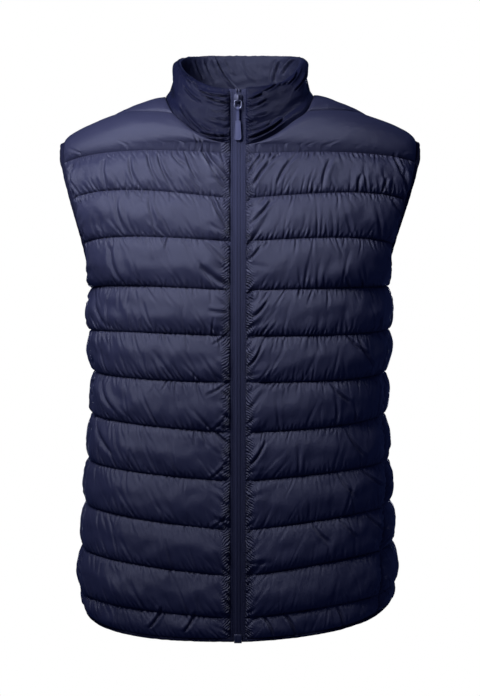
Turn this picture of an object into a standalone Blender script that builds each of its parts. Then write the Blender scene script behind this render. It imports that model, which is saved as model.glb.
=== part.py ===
"""Sleeveless quilted down vest, filled out as worn, with nobody in it.

Metres, +Z up.  The chest faces -Y and +X is the viewer's right, which is the
wearer's left.  The origin is the middle of the neck base, where the shoulders
of a wearer carry the vest.  Sizes in the tables are millimetres.

The shell is worked out from rings of the body, one at each stitch line, and
from a cap over the shoulders.  Every panel is a wall whose outer points are
raised between the stitch lines, over a plain inside.
"""
import math
from collections import namedtuple

import bmesh
import bpy
import numpy as np
from mathutils import Matrix, Vector

MM = 0.001
RIGHT, LEFT = -1, 1          # the wearer's sides, as the sign of X

# ---- driving dimensions, millimetres --------------------------------------
SEAM_GAP = 0.3               # between sewn pieces
SEAM_INSET = 0.35            # each panel's share of a seam's gap, with room for its turn
WALL = 2.0                   # cloth and fill where a stitch line pinches them
PUFF = 9.0                   # loft of a channel over its stitch lines
CAP_PUFF = 7.0               # loft of the front panels' channel over the shoulder
YOKE_PUFF = 3.0              # loft of the plain yoke
HEM_PUFF = 5.0               # loft of the short channel over the hem
EDGE_RISE = 20.0             # a channel reaches its loft this far from an edge
ROUNDNESS = 2.5              # exponent of the body's rounded section
TAPE_EDGE = 9.2              # half the zip, which shows between the panels
PANEL_EDGE = TAPE_EDGE + SEAM_GAP
TAPE_THICK = 1.6
BINDING_WIDTH = 6.0          # flat band round each armhole
BINDING_GAP = 0.7            # its distance from the panels, which turn under it
BINDING_THICK = 3.0
HEM_BINDING = 3.5            # narrow bound edge of the hem
COLLAR_SHELL = 2.2           # plain thickness of each of the collar's two sides

# ---- the body, one ring for each stitch line, from the hem up -------------
# half widths at the stitch line, depth before and behind the middle plane,
# how far before that plane the side seams lie, and the line's heights at the
# zip, half way round each front, at each side seam and at the middle back
Ring = namedtuple("Ring", "name right_half left_half front back right_seam left_seam "
                          "zip_z right_mid_z left_mid_z right_seam_z left_seam_z back_z")
RINGS = [
    Ring("hem", 190, 191, 112, 108, 30, 66, -662.5, -656, -652, -636, -636, -609),
    Ring("line_11", 194, 193, 113, 111, 32, 65, -637, -626, -624, -614, -614, -592),
    Ring("line_10", 191, 190, 114, 112, 28, 60, -586, -572, -570, -560, -561, -543),
    Ring("line_9", 187, 187, 115, 108, 16, 50, -531, -516, -517, -504, -508, -491),
    Ring("line_8", 184, 184, 116, 101, 22, 42, -472, -461, -461, -450, -453, -440),
    Ring("line_7", 180, 181, 118, 96, 32, 41, -414, -404, -406, -394, -395, -389),
    Ring("line_6", 178, 182, 121, 94, 34, 40, -354, -349, -351, -341, -343, -338),
    Ring("line_5", 183, 187, 123, 98, 24, 34, -298, -293, -296, -290, -289, -288),
    Ring("line_4", 181, 186, 122, 104, 0, 0, -243, -237, -239, -238, -235, -236),
]
ARMHOLE_RING = len(RINGS) - 1          # the armholes start at this ring
CHEST_RING = ARMHOLE_RING + 3          # the topmost stitch line

# ---- above the armholes ---------------------------------------------------
# depth of the chest at the zip, of the back at its middle, and line heights
Chest = namedtuple("Chest", "name front back zip_z right_mid_z left_mid_z back_z front_turn back_turn")
CHEST = [
    Chest("line_4", 122, 104, -243, -237, -239, -236, 90, 90),
    Chest("line_3", 117, 109, -184, -178, -179, -183, 74, 74),
    Chest("line_2", 105, 108, -131.5, -121, -124, -131, 66, 66),
    Chest("line_1", 89, 99, -76, -72.5, -74.5, -82, 58, 62),
]
# panel edges round the armholes: step up the rings, then x, y and z
Edge = namedtuple("Edge", "ring x y z")
FRONT_EDGE = {
    RIGHT: [Edge(8, -181, 0, -238), Edge(8.15, -181.5, -26, -232), Edge(8.5, -183, -48, -213),
            Edge(9, -188, -58, -184), Edge(10, -202, -60, -130), Edge(11, -214, -38, -84)],
    LEFT: [Edge(8, 186, 0, -235), Edge(8.15, 184.5, -26, -230), Edge(8.5, 184, -48, -212),
           Edge(9, 189, -58, -185), Edge(10, 205, -60, -131), Edge(11, 219, -38, -83)],
}
BACK_EDGE = {
    RIGHT: [Edge(8, -181, 0, -238), Edge(8.15, -181, 24, -232), Edge(8.5, -181, 43, -213),
            Edge(9, -184, 53, -184), Edge(10, -194, 58, -131), Edge(11, -206, 46, -86)],
    LEFT: [Edge(8, 186, 0, -235), Edge(8.15, 184, 24, -230), Edge(8.5, 183, 43, -212),
           Edge(9, 186, 53, -184), Edge(10, 197, 58, -131), Edge(11, 211, 46, -86)],
}
# top of the shoulders, seen from the front; it runs on over the neck opening
Ridge = namedtuple("Ridge", "x z")
RIDGE = {
    RIGHT: [Ridge(0, 18), Ridge(45, 13), Ridge(89, 0), Ridge(110, -7), Ridge(135, -16),
            Ridge(160, -27), Ridge(185, -39), Ridge(217, -57)],
    LEFT: [Ridge(0, 18), Ridge(45, 15), Ridge(93, 2), Ridge(115, -5), Ridge(140, -15),
           Ridge(165, -27), Ridge(190, -38), Ridge(223, -56)],
}
FRONT_CAP_POWER = 2.0        # how squarely the cap falls off before the ridge
BACK_CAP_POWER = 3.0         # and behind it
# neck seam and forward shoulder seam on the cap: |x| and the turn from the
# ridge in degrees, positive to the front, negative to the back
CapPoint = namedtuple("CapPoint", "x turn")
NECK_SEAM = {
    RIGHT: [CapPoint(PANEL_EDGE, 83), CapPoint(30, 81), CapPoint(46, 76), CapPoint(60, 69),
            CapPoint(79, 52), CapPoint(88, 25), CapPoint(89, 0), CapPoint(84, -18),
            CapPoint(68, -32), CapPoint(40, -40), CapPoint(0, -42)],
    LEFT: [CapPoint(PANEL_EDGE, 84), CapPoint(30, 81), CapPoint(50, 74), CapPoint(68, 63),
           CapPoint(84, 50), CapPoint(92, 25), CapPoint(93, 0), CapPoint(87, -18),
           CapPoint(70, -32), CapPoint(41, -40), CapPoint(0, -42)],
}
NECK_CORNER = 4              # the point above where the shoulder seam starts
NECK_REAR = 8                # and the one over the back corner of the yoke
SHOULDER_SEAM = {
    RIGHT: [CapPoint(79, 52), CapPoint(121, 33), CapPoint(160, 3), CapPoint(216, -18)],
    LEFT: [CapPoint(84, 50), CapPoint(126, 33), CapPoint(170, 3), CapPoint(221, -18)],
}
YOKE_CORNER = 0.36           # share of the half back under the neck opening

# ---- collar: its top edge from the zip round to the middle back -----------
TopEdge = namedtuple("TopEdge", "x y z")
COLLAR_TOP = {
    RIGHT: [TopEdge(9.5, -84.5, 2), TopEdge(32, -77, 6), TopEdge(50, -63, 15), TopEdge(63, -43, 27),
            TopEdge(71, -18, 40), TopEdge(71, 12, 49), TopEdge(62, 42, 56), TopEdge(40, 62, 60),
            TopEdge(0, 72, 61)],
    LEFT: [TopEdge(9.5, -84.5, 4), TopEdge(32, -77, 7), TopEdge(52, -63, 13), TopEdge(66, -43, 26),
           TopEdge(77, -18, 42), TopEdge(78, 12, 51), TopEdge(66, 42, 57), TopEdge(42, 62, 60),
           TopEdge(0, 72, 61)],
}
# rise up the collar and loft of its outer side, with the crease above the seam
CollarRow = namedtuple("CollarRow", "rise outer inner")
COLLAR_ROWS = [
    CollarRow(0.0, 0.0, 0.0), CollarRow(0.12, 3.0, 0.6), CollarRow(0.27, 0.8, 1.2),
    CollarRow(0.48, 4.5, 2.2), CollarRow(0.75, 5.0, 2.2), CollarRow(0.93, 3.2, 1.2),
    CollarRow(1.0, 0.6, 0.0),
]

# ---- zip ------------------------------------------------------------------
ZipDepth = namedtuple("ZipDepth", "z y")
COLLAR_FRONT = [ZipDepth(-76, -89), ZipDepth(-67, -87.4), ZipDepth(-45, -86.2),
                ZipDepth(-20, -85.4), ZipDepth(4, -84.5)]
ZIP_TOP = 3.0
ZIP_BOTTOM = -663.5
TAPE_STEP = 22.0
COIL_ROOM = 1.2              # room for the coil before the tapes
SLIDER_TOP, SLIDER_BOTTOM = -4.0, -15.0
SLIDER_WIDTH, SLIDER_NECK = 9.2, 6.4
PLATE_THICK = 1.8
POST_WIDTH = 1.8
BRIDGE_WIDTH, BRIDGE_THICK = 2.6, 1.1
WIRE = 0.8                   # radius of the pull's ring
WIRE_ROOM = 0.4              # clearance round the ring in the bridge
RING_HALF_WIDTH, RING_HEIGHT = 4.9, 11.6
STRAP_WIDTH, STRAP_THICK = 3.4, 2.0
EYE_RADIUS, EYE_HOLE = 2.7, 1.7
TAB_TOP, TAB_BOTTOM = -37.0, -60.5
TAB_TOP_HALF, TAB_BOTTOM_HALF, TAB_THICK = 3.1, 4.5, 2.6
BOX_WIDTH, BOX_TOP, BOX_BOTTOM = 9.2, -657.0, -667.6
STOP_SIZE = (2.2, 1.4, 3.4)

# rows of a channel and the share of its loft there
CHANNEL = [(0.0, 0.0), (0.15, 0.68), (0.5, 1.0), (0.85, 0.68)]
FRONT_COLUMNS = [0, 0.02, 0.06, 0.13, 0.23, 0.35, 0.47, 0.59, 0.70, 0.80, 0.88, 0.94, 0.98, 1]
BACK_COLUMNS = [0, 0.02, 0.05, 0.11, 0.18, 0.25, 0.32, 0.39, 0.45, 0.5]
ZIP_SHARE = 0.06             # share of the top channel's inner side that runs up the zip
CAP_ROWS = [0, ZIP_SHARE, 0.2, 0.33, 0.47, 0.6, 0.73, 0.87, 1]
YOKE_ROWS, YOKE_NECK_ROWS, YOKE_BACK_ACROSS = 4, 7, 4
COLLAR_STEPS = 17            # steps round each half of the collar

# colour, roughness, metallic
NYLON = ((0.030, 0.032, 0.085, 1), 0.42, 0.0)
LINING = ((0.024, 0.026, 0.070, 1), 0.45, 0.0)
BINDING = ((0.018, 0.020, 0.055, 1), 0.60, 0.0)
TAPE = ((0.012, 0.013, 0.032, 1), 0.75, 0.0)
METAL = ((0.060, 0.062, 0.085, 1), 0.35, 0.9)
RUBBER = ((0.016, 0.017, 0.030, 1), 0.55, 0.0)


# ---- small maths ----------------------------------------------------------
def through(keys, values, at):
    """Smooth curve through values at rising keys; no overshoot past a flat."""
    keys = np.asarray(keys, float)
    values = np.asarray(values, float)
    slopes = np.diff(values, axis=0) / np.diff(keys).reshape((-1,) + (1,) * (values.ndim - 1))
    ends = np.concatenate([slopes[:1], (slopes[:-1] + slopes[1:]) / 2, slopes[-1:]])
    i = int(np.clip(np.searchsorted(keys, at, side="right") - 1, 0, len(keys) - 2))
    h = keys[i + 1] - keys[i]
    t = min(max((at - keys[i]) / h, 0.0), 1.0)
    return ((1 + 2 * t) * (1 - t) ** 2 * values[i] + t * (1 - t) ** 2 * h * ends[i]
            + t * t * (3 - 2 * t) * values[i + 1] + t * t * (t - 1) * h * ends[i + 1])


def quadratic(start, middle, end, t):
    """Value at t of the parabola with these values at 0, 0.5 and 1."""
    return start * (1 - t) * (1 - 2 * t) + middle * 4 * t * (1 - t) + end * t * (2 * t - 1)


def corner(turn, power=ROUNDNESS):
    """Rounded section: share of the half width and of the depth at a turn."""
    return math.sin(turn) ** (2 / power), abs(math.cos(turn)) ** (2 / power)


def unit(vectors):
    """Vectors scaled to length one."""
    length = np.linalg.norm(vectors, axis=-1, keepdims=True)
    return vectors / np.maximum(length, 1e-9)


def grid_normals(grid):
    """Normals of a grid of points (rows up, columns along), either way out."""
    up = np.gradient(grid, axis=0)
    along = np.gradient(grid, axis=1)
    return unit(np.cross(along, up))


def slope_normals(point_at, across, steps):
    """Normals of a surface of two values, from close differences.

    point_at takes a share across and a step up the rings.
    """
    near, last = 0.004, steps[-1]
    normals = []
    for step in steps:
        low, high = max(step - near, 0.0), min(step + near, last)
        normals.append([np.cross(point_at(min(u + near, 1.0), step) - point_at(max(u - near, 0.0), step),
                                 point_at(u, high) - point_at(u, low)) for u in across])
    return unit(np.array(normals))


def inset_edges(grid, gap):
    """Draw the outermost rows and columns in, for the gap at a seam."""
    grid = grid.copy()
    grid[0] += unit(grid[1] - grid[0]) * gap
    grid[-1] += unit(grid[-2] - grid[-1]) * gap
    grid[:, 0] += unit(grid[:, 1] - grid[:, 0]) * gap
    grid[:, -1] += unit(grid[:, -2] - grid[:, -1]) * gap
    return grid


def edge_rise(distance):
    """Share of the loft at a distance from a panel's edge."""
    t = np.clip(distance / EDGE_RISE, 0, 1)
    return np.sqrt(1 - (1 - t) ** 2)


# ---- the body below the armholes ------------------------------------------
def ring_at(step):
    """Ring values between the stitch lines; step 0 is the hem."""
    rows = np.array([ring[1:] for ring in RINGS])
    return Ring("", *through(range(len(RINGS)), rows, step))


def side_values(ring, side):
    """Half width, seam depth and the two front heights of one side."""
    if side == RIGHT:
        return ring.right_half, ring.right_seam, ring.right_mid_z, ring.right_seam_z
    return ring.left_half, ring.left_seam, ring.left_mid_z, ring.left_seam_z


def seam_turn(ring, side):
    """Turn from the chest's middle to the side seam."""
    seam = side_values(ring, side)[1]
    return math.acos(min(1.0, max(seam, 0.0) / ring.front) ** (ROUNDNESS / 2))


def edge_at(table, step):
    """Point of an armhole's panel edge."""
    rows = np.array([edge[1:] for edge in table])
    return through([edge.ring for edge in table], rows, step)


def chest_at(step):
    """Chest values between the stitch lines above the armholes."""
    rows = np.array([row[1:] for row in CHEST])
    return Chest("", *through(range(ARMHOLE_RING, CHEST_RING + 1), rows, step))


def front_point(side, u, step):
    """Stitch-level point of a front panel: u runs from the zip to its edge."""
    if step <= ARMHOLE_RING:
        ring = ring_at(step)
        half, seam, mid_z, seam_z = side_values(ring, side)
        turn = seam_turn(ring, side)
        depth, zip_z = ring.front, ring.zip_z
        wide, deep = corner(turn)
        edge = np.array([side * half * wide, -depth * deep, seam_z])
    else:
        chest = chest_at(step)
        turn = math.radians(chest.front_turn)
        depth, zip_z = chest.front, chest.zip_z
        mid_z = chest.right_mid_z if side == RIGHT else chest.left_mid_z
        edge = edge_at(FRONT_EDGE[side], step)
    full_wide, full_deep = corner(turn)
    wide, deep = corner(u * turn)
    x = side * PANEL_EDGE + (edge[0] - side * PANEL_EDGE) * wide / full_wide
    y = edge[1] + (-depth - edge[1]) * (deep - full_deep) / (1 - full_deep)
    return np.array([x, y, quadratic(zip_z, mid_z, edge[2], u)])


def back_point(side, t, step):
    """Stitch-level point of the back: t runs from its middle to its edge."""
    if step <= ARMHOLE_RING:
        ring = ring_at(step)
        half, seam, mid_z, seam_z = side_values(ring, side)
        turn = t * (math.pi - seam_turn(ring, side))
        wide, deep = corner(turn)
        y = ring.back * deep if turn < math.pi / 2 else -ring.front * deep
        z = ring.back_z + (seam_z - ring.back_z) * t ** 4
        return np.array([side * half * wide, y, z])
    chest = chest_at(step)
    turn = math.radians(chest.back_turn)
    edge = edge_at(BACK_EDGE[side], step)
    full_wide, full_deep = corner(turn)
    wide, deep = corner(t * turn)
    y = edge[1] + (chest.back - edge[1]) * (deep - full_deep) / (1 - full_deep)
    z = chest.back_z + (edge[2] - chest.back_z) * t ** 4
    return np.array([edge[0] * wide / full_wide, y, z])


# ---- the cap over the shoulders -------------------------------------------
def along_line(point_at, x):
    """Point of a stitch line with this distance from the middle."""
    low, high = 0.0, 1.0
    for _ in range(30):
        middle = (low + high) / 2
        if abs(point_at(middle)[0]) < x:
            low = middle
        else:
            high = middle
    return point_at((low + high) / 2)


def cap_point(side, x, turn):
    """Point of the shoulder cap; turn in degrees from the ridge, + to the front."""
    table = RIDGE[side]
    top = float(through([r.x for r in table], [r.z for r in table], x))
    if turn >= 0:
        foot = along_line(lambda u: front_point(side, u, CHEST_RING), x)
        power = FRONT_CAP_POWER
    else:
        foot = along_line(lambda t: back_point(side, t, CHEST_RING), x)
        power = BACK_CAP_POWER
    out, up = corner(math.radians(abs(turn)), power)
    return np.array([side * x, foot[1] * out, foot[2] + (top - foot[2]) * up])


def cap_normal(side, x, turn):
    """Outward normal of the cap, from its slopes along and across."""
    along = cap_point(side, x + 1.0, turn) - cap_point(side, x - 1.0, turn)
    turned = np.clip(turn, -88.0, 88.0)
    across = cap_point(side, x, turned + 1.5) - cap_point(side, x, turned - 1.5)
    return unit(np.cross(along, across) * -side)


def cap_places(side, shares):
    """Points and normals of a grid of x and turn."""
    points = np.array([[cap_point(side, x, turn) for x, turn in row] for row in shares])
    normals = np.array([[cap_normal(side, x, turn) for x, turn in row] for row in shares])
    return points, normals


def cap_curve(table, t):
    """x and turn at t along a line on the cap; t counts the table's points."""
    return through(range(len(table)), [(p.x, p.turn) for p in table], t)


def patch(bottom, top, start, end, across, rows):
    """Grid of x and turn between four edges; each is a function of 0 to 1."""
    grid = []
    for w in rows:
        row = []
        for u in across:
            flat = ((1 - u) * (1 - w) * bottom(0) + u * (1 - w) * bottom(1)
                    + (1 - u) * w * top(0) + u * w * top(1))
            row.append((1 - w) * bottom(u) + w * top(u) + (1 - u) * start(w) + u * end(w) - flat)
        grid.append(row)
    return np.array(grid)


def front_cap_grid(side, across, rows):
    """Top channel of a front panel, from its top stitch line to the seams."""
    neck, seam = NECK_SEAM[side], SHOULDER_SEAM[side]
    foot_x = [abs(front_point(side, u, CHEST_RING)[0]) for u in across]
    wide, tip = foot_x[-1], seam[-1]

    def inner_side(w):
        if w <= ZIP_SHARE:
            return np.array([PANEL_EDGE, 90 + (neck[0].turn - 90) * w / ZIP_SHARE])
        return cap_curve(neck, (w - ZIP_SHARE) / (1 - ZIP_SHARE) * NECK_CORNER)

    shares = patch(
        bottom=lambda u: np.array([np.interp(u, across, foot_x), 90.0]),
        top=lambda u: cap_curve(seam, u * (len(seam) - 1)),
        start=inner_side,
        end=lambda w: np.array([wide + (tip.x - wide) * w, 90 + (tip.turn - 90) * w]),
        across=across, rows=rows)
    return cap_places(side, shares)


# ---- meshes ---------------------------------------------------------------
def material(name, finish):
    """Principled material of a colour, a roughness and a metallic value."""
    colour, roughness, metallic = finish
    made = bpy.data.materials.new(name)
    made.use_nodes = True
    shader = made.node_tree.nodes["Principled BSDF"]
    shader.inputs["Base Color"].default_value = colour
    shader.inputs["Roughness"].default_value = roughness
    shader.inputs["Metallic"].default_value = metallic
    made.diffuse_color = colour
    return made


def add_object(name, bm, finish, smooth=35):
    """Object of a closed mesh, with its faces turned outward."""
    bm.normal_update()
    bmesh.ops.triangulate(bm, faces=bm.faces)
    bmesh.ops.recalc_face_normals(bm, faces=bm.faces)
    mesh = bpy.data.meshes.new(name)
    bm.to_mesh(mesh)
    bm.free()
    mesh.shade_smooth()
    mesh.set_sharp_from_angle(angle=math.radians(smooth))
    made = bpy.data.objects.new(name, mesh)
    mesh.materials.append(material(name, finish))
    bpy.context.scene.collection.objects.link(made)
    return made


def fan(bm, loop):
    """Triangles from the loop's last point, which sees all the others."""
    for one, two in zip(loop[:-2], loop[1:-1]):
        bm.faces.new((loop[-1], one, two))


def wall_mesh(outer, inner, inner_rows):
    """Closed wall of an outer grid and a plain inner grid with fewer rows.

    inner_rows gives, for each row of the inner grid, the outer row beside it.
    """
    bm = bmesh.new()
    out = [[bm.verts.new(p * MM) for p in row] for row in outer]
    ins = [[bm.verts.new(p * MM) for p in row] for row in inner]
    for grid in (out, ins):
        for low, high in zip(grid[:-1], grid[1:]):
            for i in range(len(low) - 1):
                bm.faces.new((low[i], low[i + 1], high[i + 1], high[i]))
    for outer_row, inner_row in ((out[0], ins[0]), (out[-1], ins[-1])):
        for i in range(len(outer_row) - 1):
            bm.faces.new((outer_row[i], outer_row[i + 1], inner_row[i + 1], inner_row[i]))
    for column in (0, -1):
        for k in range(len(inner_rows) - 1):
            beside = [out[r][column] for r in range(inner_rows[k], inner_rows[k + 1] + 1)]
            fan(bm, beside + [ins[k + 1][column], ins[k][column]])
    return bm


def edge_distance(grid):
    """Distance of each grid point from the nearer end of its row."""
    steps = np.linalg.norm(np.diff(grid, axis=1), axis=2)
    from_start = np.concatenate([np.zeros((len(grid), 1)), np.cumsum(steps, axis=1)], axis=1)
    return np.minimum(from_start, from_start[:, -1:] - from_start)


def channel_rows(first, last):
    """Rows between two stitch lines counted along the rings, and their loft."""
    steps, lofts = [], []
    for ring in range(first, last):
        full = HEM_PUFF if ring == 0 else PUFF
        for share, loft in CHANNEL:
            steps.append(ring + share)
            lofts.append(loft * full)
    return steps, lofts


def outward(grid, normals):
    """Normals turned away from the upright line through the origin."""
    away = grid * np.array([1, 1, 0])
    return normals * np.sign((normals * away).sum(axis=2, keepdims=True).mean())


def quilted(name, grid, normals, lofts):
    """Quilted panel over a grid of stitch-level points and their normals.

    Its inside has half as many rows below the armholes.
    """
    low_rows = len(CHANNEL) * ARMHOLE_RING
    inner_rows = list(range(0, low_rows, 2)) + list(range(low_rows, len(grid)))
    grid = inset_edges(grid, SEAM_INSET)
    raised = np.array(lofts)[:, None] * edge_rise(edge_distance(grid))
    outer = grid + normals * raised[..., None]
    inner = (grid - normals * WALL)[inner_rows]
    return add_object(name, wall_mesh(outer, inner, inner_rows), NYLON), grid, normals


def front_panel(side, name):
    """One quilted front, from the hem over the chest to the shoulder seam."""
    steps, lofts = channel_rows(0, CHEST_RING)
    body = np.array([[front_point(side, u, step) for u in FRONT_COLUMNS] for step in steps])
    slopes = slope_normals(lambda u, step: front_point(side, u, step), FRONT_COLUMNS, steps)
    shares = np.array(CAP_ROWS)
    cap, cap_normals = front_cap_grid(side, FRONT_COLUMNS, shares)
    grid = np.concatenate([body, cap])
    lofts += list(CAP_PUFF * np.sqrt(np.clip(4 * shares * (1 - shares), 0, 1)))
    normals = np.concatenate([outward(body, slopes), cap_normals])
    return quilted(name, grid, normals, lofts)


def back_columns():
    """Side and share from the middle for each column, right seam to left."""
    halves = [(RIGHT, 1 - 2 * c) for c in BACK_COLUMNS]
    return halves + [(LEFT, t) for side, t in reversed(halves[:-1])]


def back_panel():
    """The quilted back, round both sides to the seams, up to the yoke."""
    steps, lofts = channel_rows(0, CHEST_RING)
    steps.append(CHEST_RING)
    lofts.append(0.0)
    grid = np.array([[back_point(side, t, step) for side, t in back_columns()] for step in steps])
    normals = np.empty_like(grid)
    for column, (side, t) in enumerate(back_columns()):
        slopes = slope_normals(lambda u, step: back_point(side, u, step), [t], steps)
        normals[:, column] = slopes[:, 0] * -side
    return quilted("back_panel", grid, outward(grid, normals), lofts)


def yoke_half(side):
    """Points over one shoulder and half the upper back, as two grids."""
    neck, seam = NECK_SEAM[side], SHOULDER_SEAM[side]
    foot = [abs(back_point(side, t, CHEST_RING)[0]) for t in np.linspace(0, 1, 21)]
    rear = neck[NECK_REAR]
    corner_x = abs(back_point(side, YOKE_CORNER, CHEST_RING)[0])
    rise = YOKE_ROWS / (YOKE_ROWS + YOKE_NECK_ROWS)

    def foot_at(t):
        return np.array([np.interp(t, np.linspace(0, 1, 21), foot), -90.0])

    def inner_side(w):
        if w <= rise:
            s = w / rise
            return np.array([corner_x + (rear.x - corner_x) * s, -90 + (rear.turn + 90) * s])
        s = (w - rise) / (1 - rise)
        return cap_curve(neck, NECK_REAR + (NECK_CORNER - NECK_REAR) * s)

    tip = seam[-1]
    shoulder = patch(
        bottom=lambda u: foot_at(YOKE_CORNER + (1 - YOKE_CORNER) * u),
        top=lambda u: cap_curve(seam, u * (len(seam) - 1)),
        start=inner_side,
        end=lambda w: np.array([foot[-1] + (tip.x - foot[-1]) * w, -90 + (tip.turn + 90) * w]),
        across=FRONT_COLUMNS,      # the seam's own points, as on the front panel
        rows=np.linspace(0, 1, YOKE_ROWS + YOKE_NECK_ROWS + 1))
    middle = patch(
        bottom=lambda u: foot_at(YOKE_CORNER * u),
        top=lambda u: cap_curve(neck, len(neck) - 1 - u * (len(neck) - 1 - NECK_REAR)),
        start=lambda w: np.array([0.0, -90 + (neck[-1].turn + 90) * w]),
        end=lambda w: inner_side(w * rise),
        across=np.linspace(0, 1, YOKE_BACK_ACROSS + 1),
        rows=np.linspace(0, 1, YOKE_ROWS + 1))
    return cap_places(side, shoulder), cap_places(side, middle)


def yoke():
    """The plain yoke: one piece over both shoulders and the upper back."""
    bm = bmesh.new()
    seen, normals, edges = {}, {}, {}
    for side in (RIGHT, LEFT):
        halves = yoke_half(side)
        edges[side] = halves[0][0][:, -1], halves[0][1][:, -1]
        for points, outs in halves:
            keys = [[tuple(np.round(p, 2)) for p in row] for row in points]
            for row, row_keys, row_outs in zip(points, keys, outs):
                for point, key, out in zip(row, row_keys, row_outs):
                    if key not in seen:
                        seen[key] = bm.verts.new(point)
                        normals[seen[key]] = Vector(out)
            for low, high in zip(keys[:-1], keys[1:]):
                for i in range(len(low) - 1):
                    bm.faces.new([seen[k] for k in (low[i], low[i + 1], high[i + 1], high[i])])
    faces = [list(f.verts) for f in bm.faces]
    rim = [tuple(e.verts) for e in bm.edges if e.is_boundary]
    on_rim = {v for pair in rim for v in pair}
    inner_sides = {v: [e.other_vert(v).co.copy() for e in v.link_edges if not e.is_boundary] for v in on_rim}
    under = {}
    for v in list(bm.verts):
        if inner_sides.get(v):
            towards = sum(inner_sides[v], Vector()) / len(inner_sides[v]) - v.co
            v.co += towards.normalized() * SEAM_INSET
        under[v] = bm.verts.new(v.co - normals[v] * WALL)
        if v not in on_rim:
            v.co += normals[v] * YOKE_PUFF
    for verts in faces:
        bm.faces.new([under[v] for v in verts])
    for one, two in rim:
        bm.faces.new((one, two, under[two], under[one]))
    bmesh.ops.scale(bm, vec=(MM, MM, MM), verts=bm.verts)
    add_object("shoulder_yoke", bm, NYLON)
    return edges


# ---- bindings -------------------------------------------------------------
def band(name, points, normals, inward, width, thick, closed, finish):
    """Bound edge along points: it stands off the panels by the seam gap."""
    if closed:
        tangents = unit(np.roll(points, -1, axis=0) - np.roll(points, 1, axis=0))
    else:
        tangents = unit(np.gradient(points, axis=0))
    across = unit(np.cross(tangents, normals))
    if (across * inward).sum() < 0:
        across = -across
    section = [(0, 0.35), (0.8, 0.5), (1, 0.2), (1, -0.2), (0.8, -0.5), (0, -0.5)]
    bm = bmesh.new()
    loops = []
    for point, normal, side in zip(points, normals, across):
        loops.append([bm.verts.new((point + side * (BINDING_GAP + out * width) + normal * up * thick) * MM)
                      for out, up in section])
    pairs = list(zip(loops[:-1], loops[1:]))
    if closed:
        pairs.append((loops[-1], loops[0]))
    else:
        bm.faces.new(loops[0])
        bm.faces.new(loops[-1])
    for one, two in pairs:
        for i in range(len(section)):
            j = (i + 1) % len(section)
            bm.faces.new((one[i], one[j], two[j], two[i]))
    return add_object(name, bm, finish, smooth=60)


def armhole_binding(side, name, front, back, yoke_edge):
    """Flat band round one armhole, along the panels' edges."""
    _, front_grid, front_normals = front
    _, back_grid, back_normals = back
    first = len(CHANNEL) * ARMHOLE_RING
    column = -1 if side == LEFT else 0
    over, over_normals = yoke_edge
    points = np.concatenate([front_grid[first:, -1], over[-2:0:-1], back_grid[:first:-1, column]])
    normals = np.concatenate([front_normals[first:, -1], over_normals[-2::-1],
                              back_normals[-2:first:-1, column]])
    inward = points.mean(axis=0) - points
    return band(name, points, normals, inward, BINDING_WIDTH, BINDING_THICK, True, BINDING)


def hem_binding(right, back, left):
    """Narrow bound edge along the hem, from one tape round to the other."""
    points = np.concatenate([right[1][0], back[1][0][1:-1], left[1][0][::-1]])
    normals = np.concatenate([right[2][0], back[2][0][1:-1], left[2][0][::-1]])
    down = np.zeros_like(points)
    down[:, 2] = -1
    return band("hem_binding", points, normals, down, HEM_BINDING, BINDING_THICK, False, BINDING)


# ---- collar ---------------------------------------------------------------
def collar_line(side, share):
    """Base and top point of the collar; share runs from the zip to the back."""
    neck, top = NECK_SEAM[side], COLLAR_TOP[side]
    x, turn = cap_curve(neck, share * (len(neck) - 1))
    base = cap_point(side, x, turn)
    edge = through(range(len(top)), [tuple(t) for t in top], share * (len(top) - 1))
    return base + np.array([0, 0, SEAM_GAP + 0.5]), edge * np.array([side, 1, 1])


def collar_columns():
    """Side and share for each column, from the right tape to the left one."""
    shares = np.linspace(0, 1, COLLAR_STEPS + 1)
    return [(RIGHT, s) for s in shares] + [(LEFT, s) for s in shares[-2::-1]]


def collar():
    """The collar's outer side and its inner side, two walls back to back."""
    lines = [collar_line(side, share) for side, share in collar_columns()]
    grid = np.array([[base + (top - base) * row.rise for base, top in lines] for row in COLLAR_ROWS])
    normals = outward(grid, grid_normals(grid))
    normals = unit(normals * np.array([1, 1, 0.35]))
    normals[:, (0, -1)] = np.array([0, -1, 0])
    rise = edge_rise(edge_distance(grid) * 1.6)
    outer_loft = np.array([row.outer for row in COLLAR_ROWS])[:, None] * rise
    inner_loft = np.array([row.inner for row in COLLAR_ROWS])[:, None] * rise
    shared = list(range(len(COLLAR_ROWS)))
    outer = wall_mesh(grid + normals * outer_loft[..., None], grid - normals * COLLAR_SHELL, shared)
    near = COLLAR_SHELL + SEAM_GAP
    far = near + COLLAR_SHELL + inner_loft
    lining = wall_mesh(grid - normals * near, grid - normals * far[..., None], shared)
    add_object("collar_outer", outer, NYLON)
    add_object("collar_inner", lining, LINING)


# ---- zip ------------------------------------------------------------------
def zip_depth(z):
    """y of the stitch-level surface along the zip at a height."""
    if z > COLLAR_FRONT[0].z:
        return float(through([c.z for c in COLLAR_FRONT], [c.y for c in COLLAR_FRONT], z))
    rows = [(r.zip_z, -r.front) for r in RINGS] + [(c.zip_z, -c.front) for c in CHEST[1:]]
    return float(through([r[0] for r in rows], [r[1] for r in rows], z))


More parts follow.
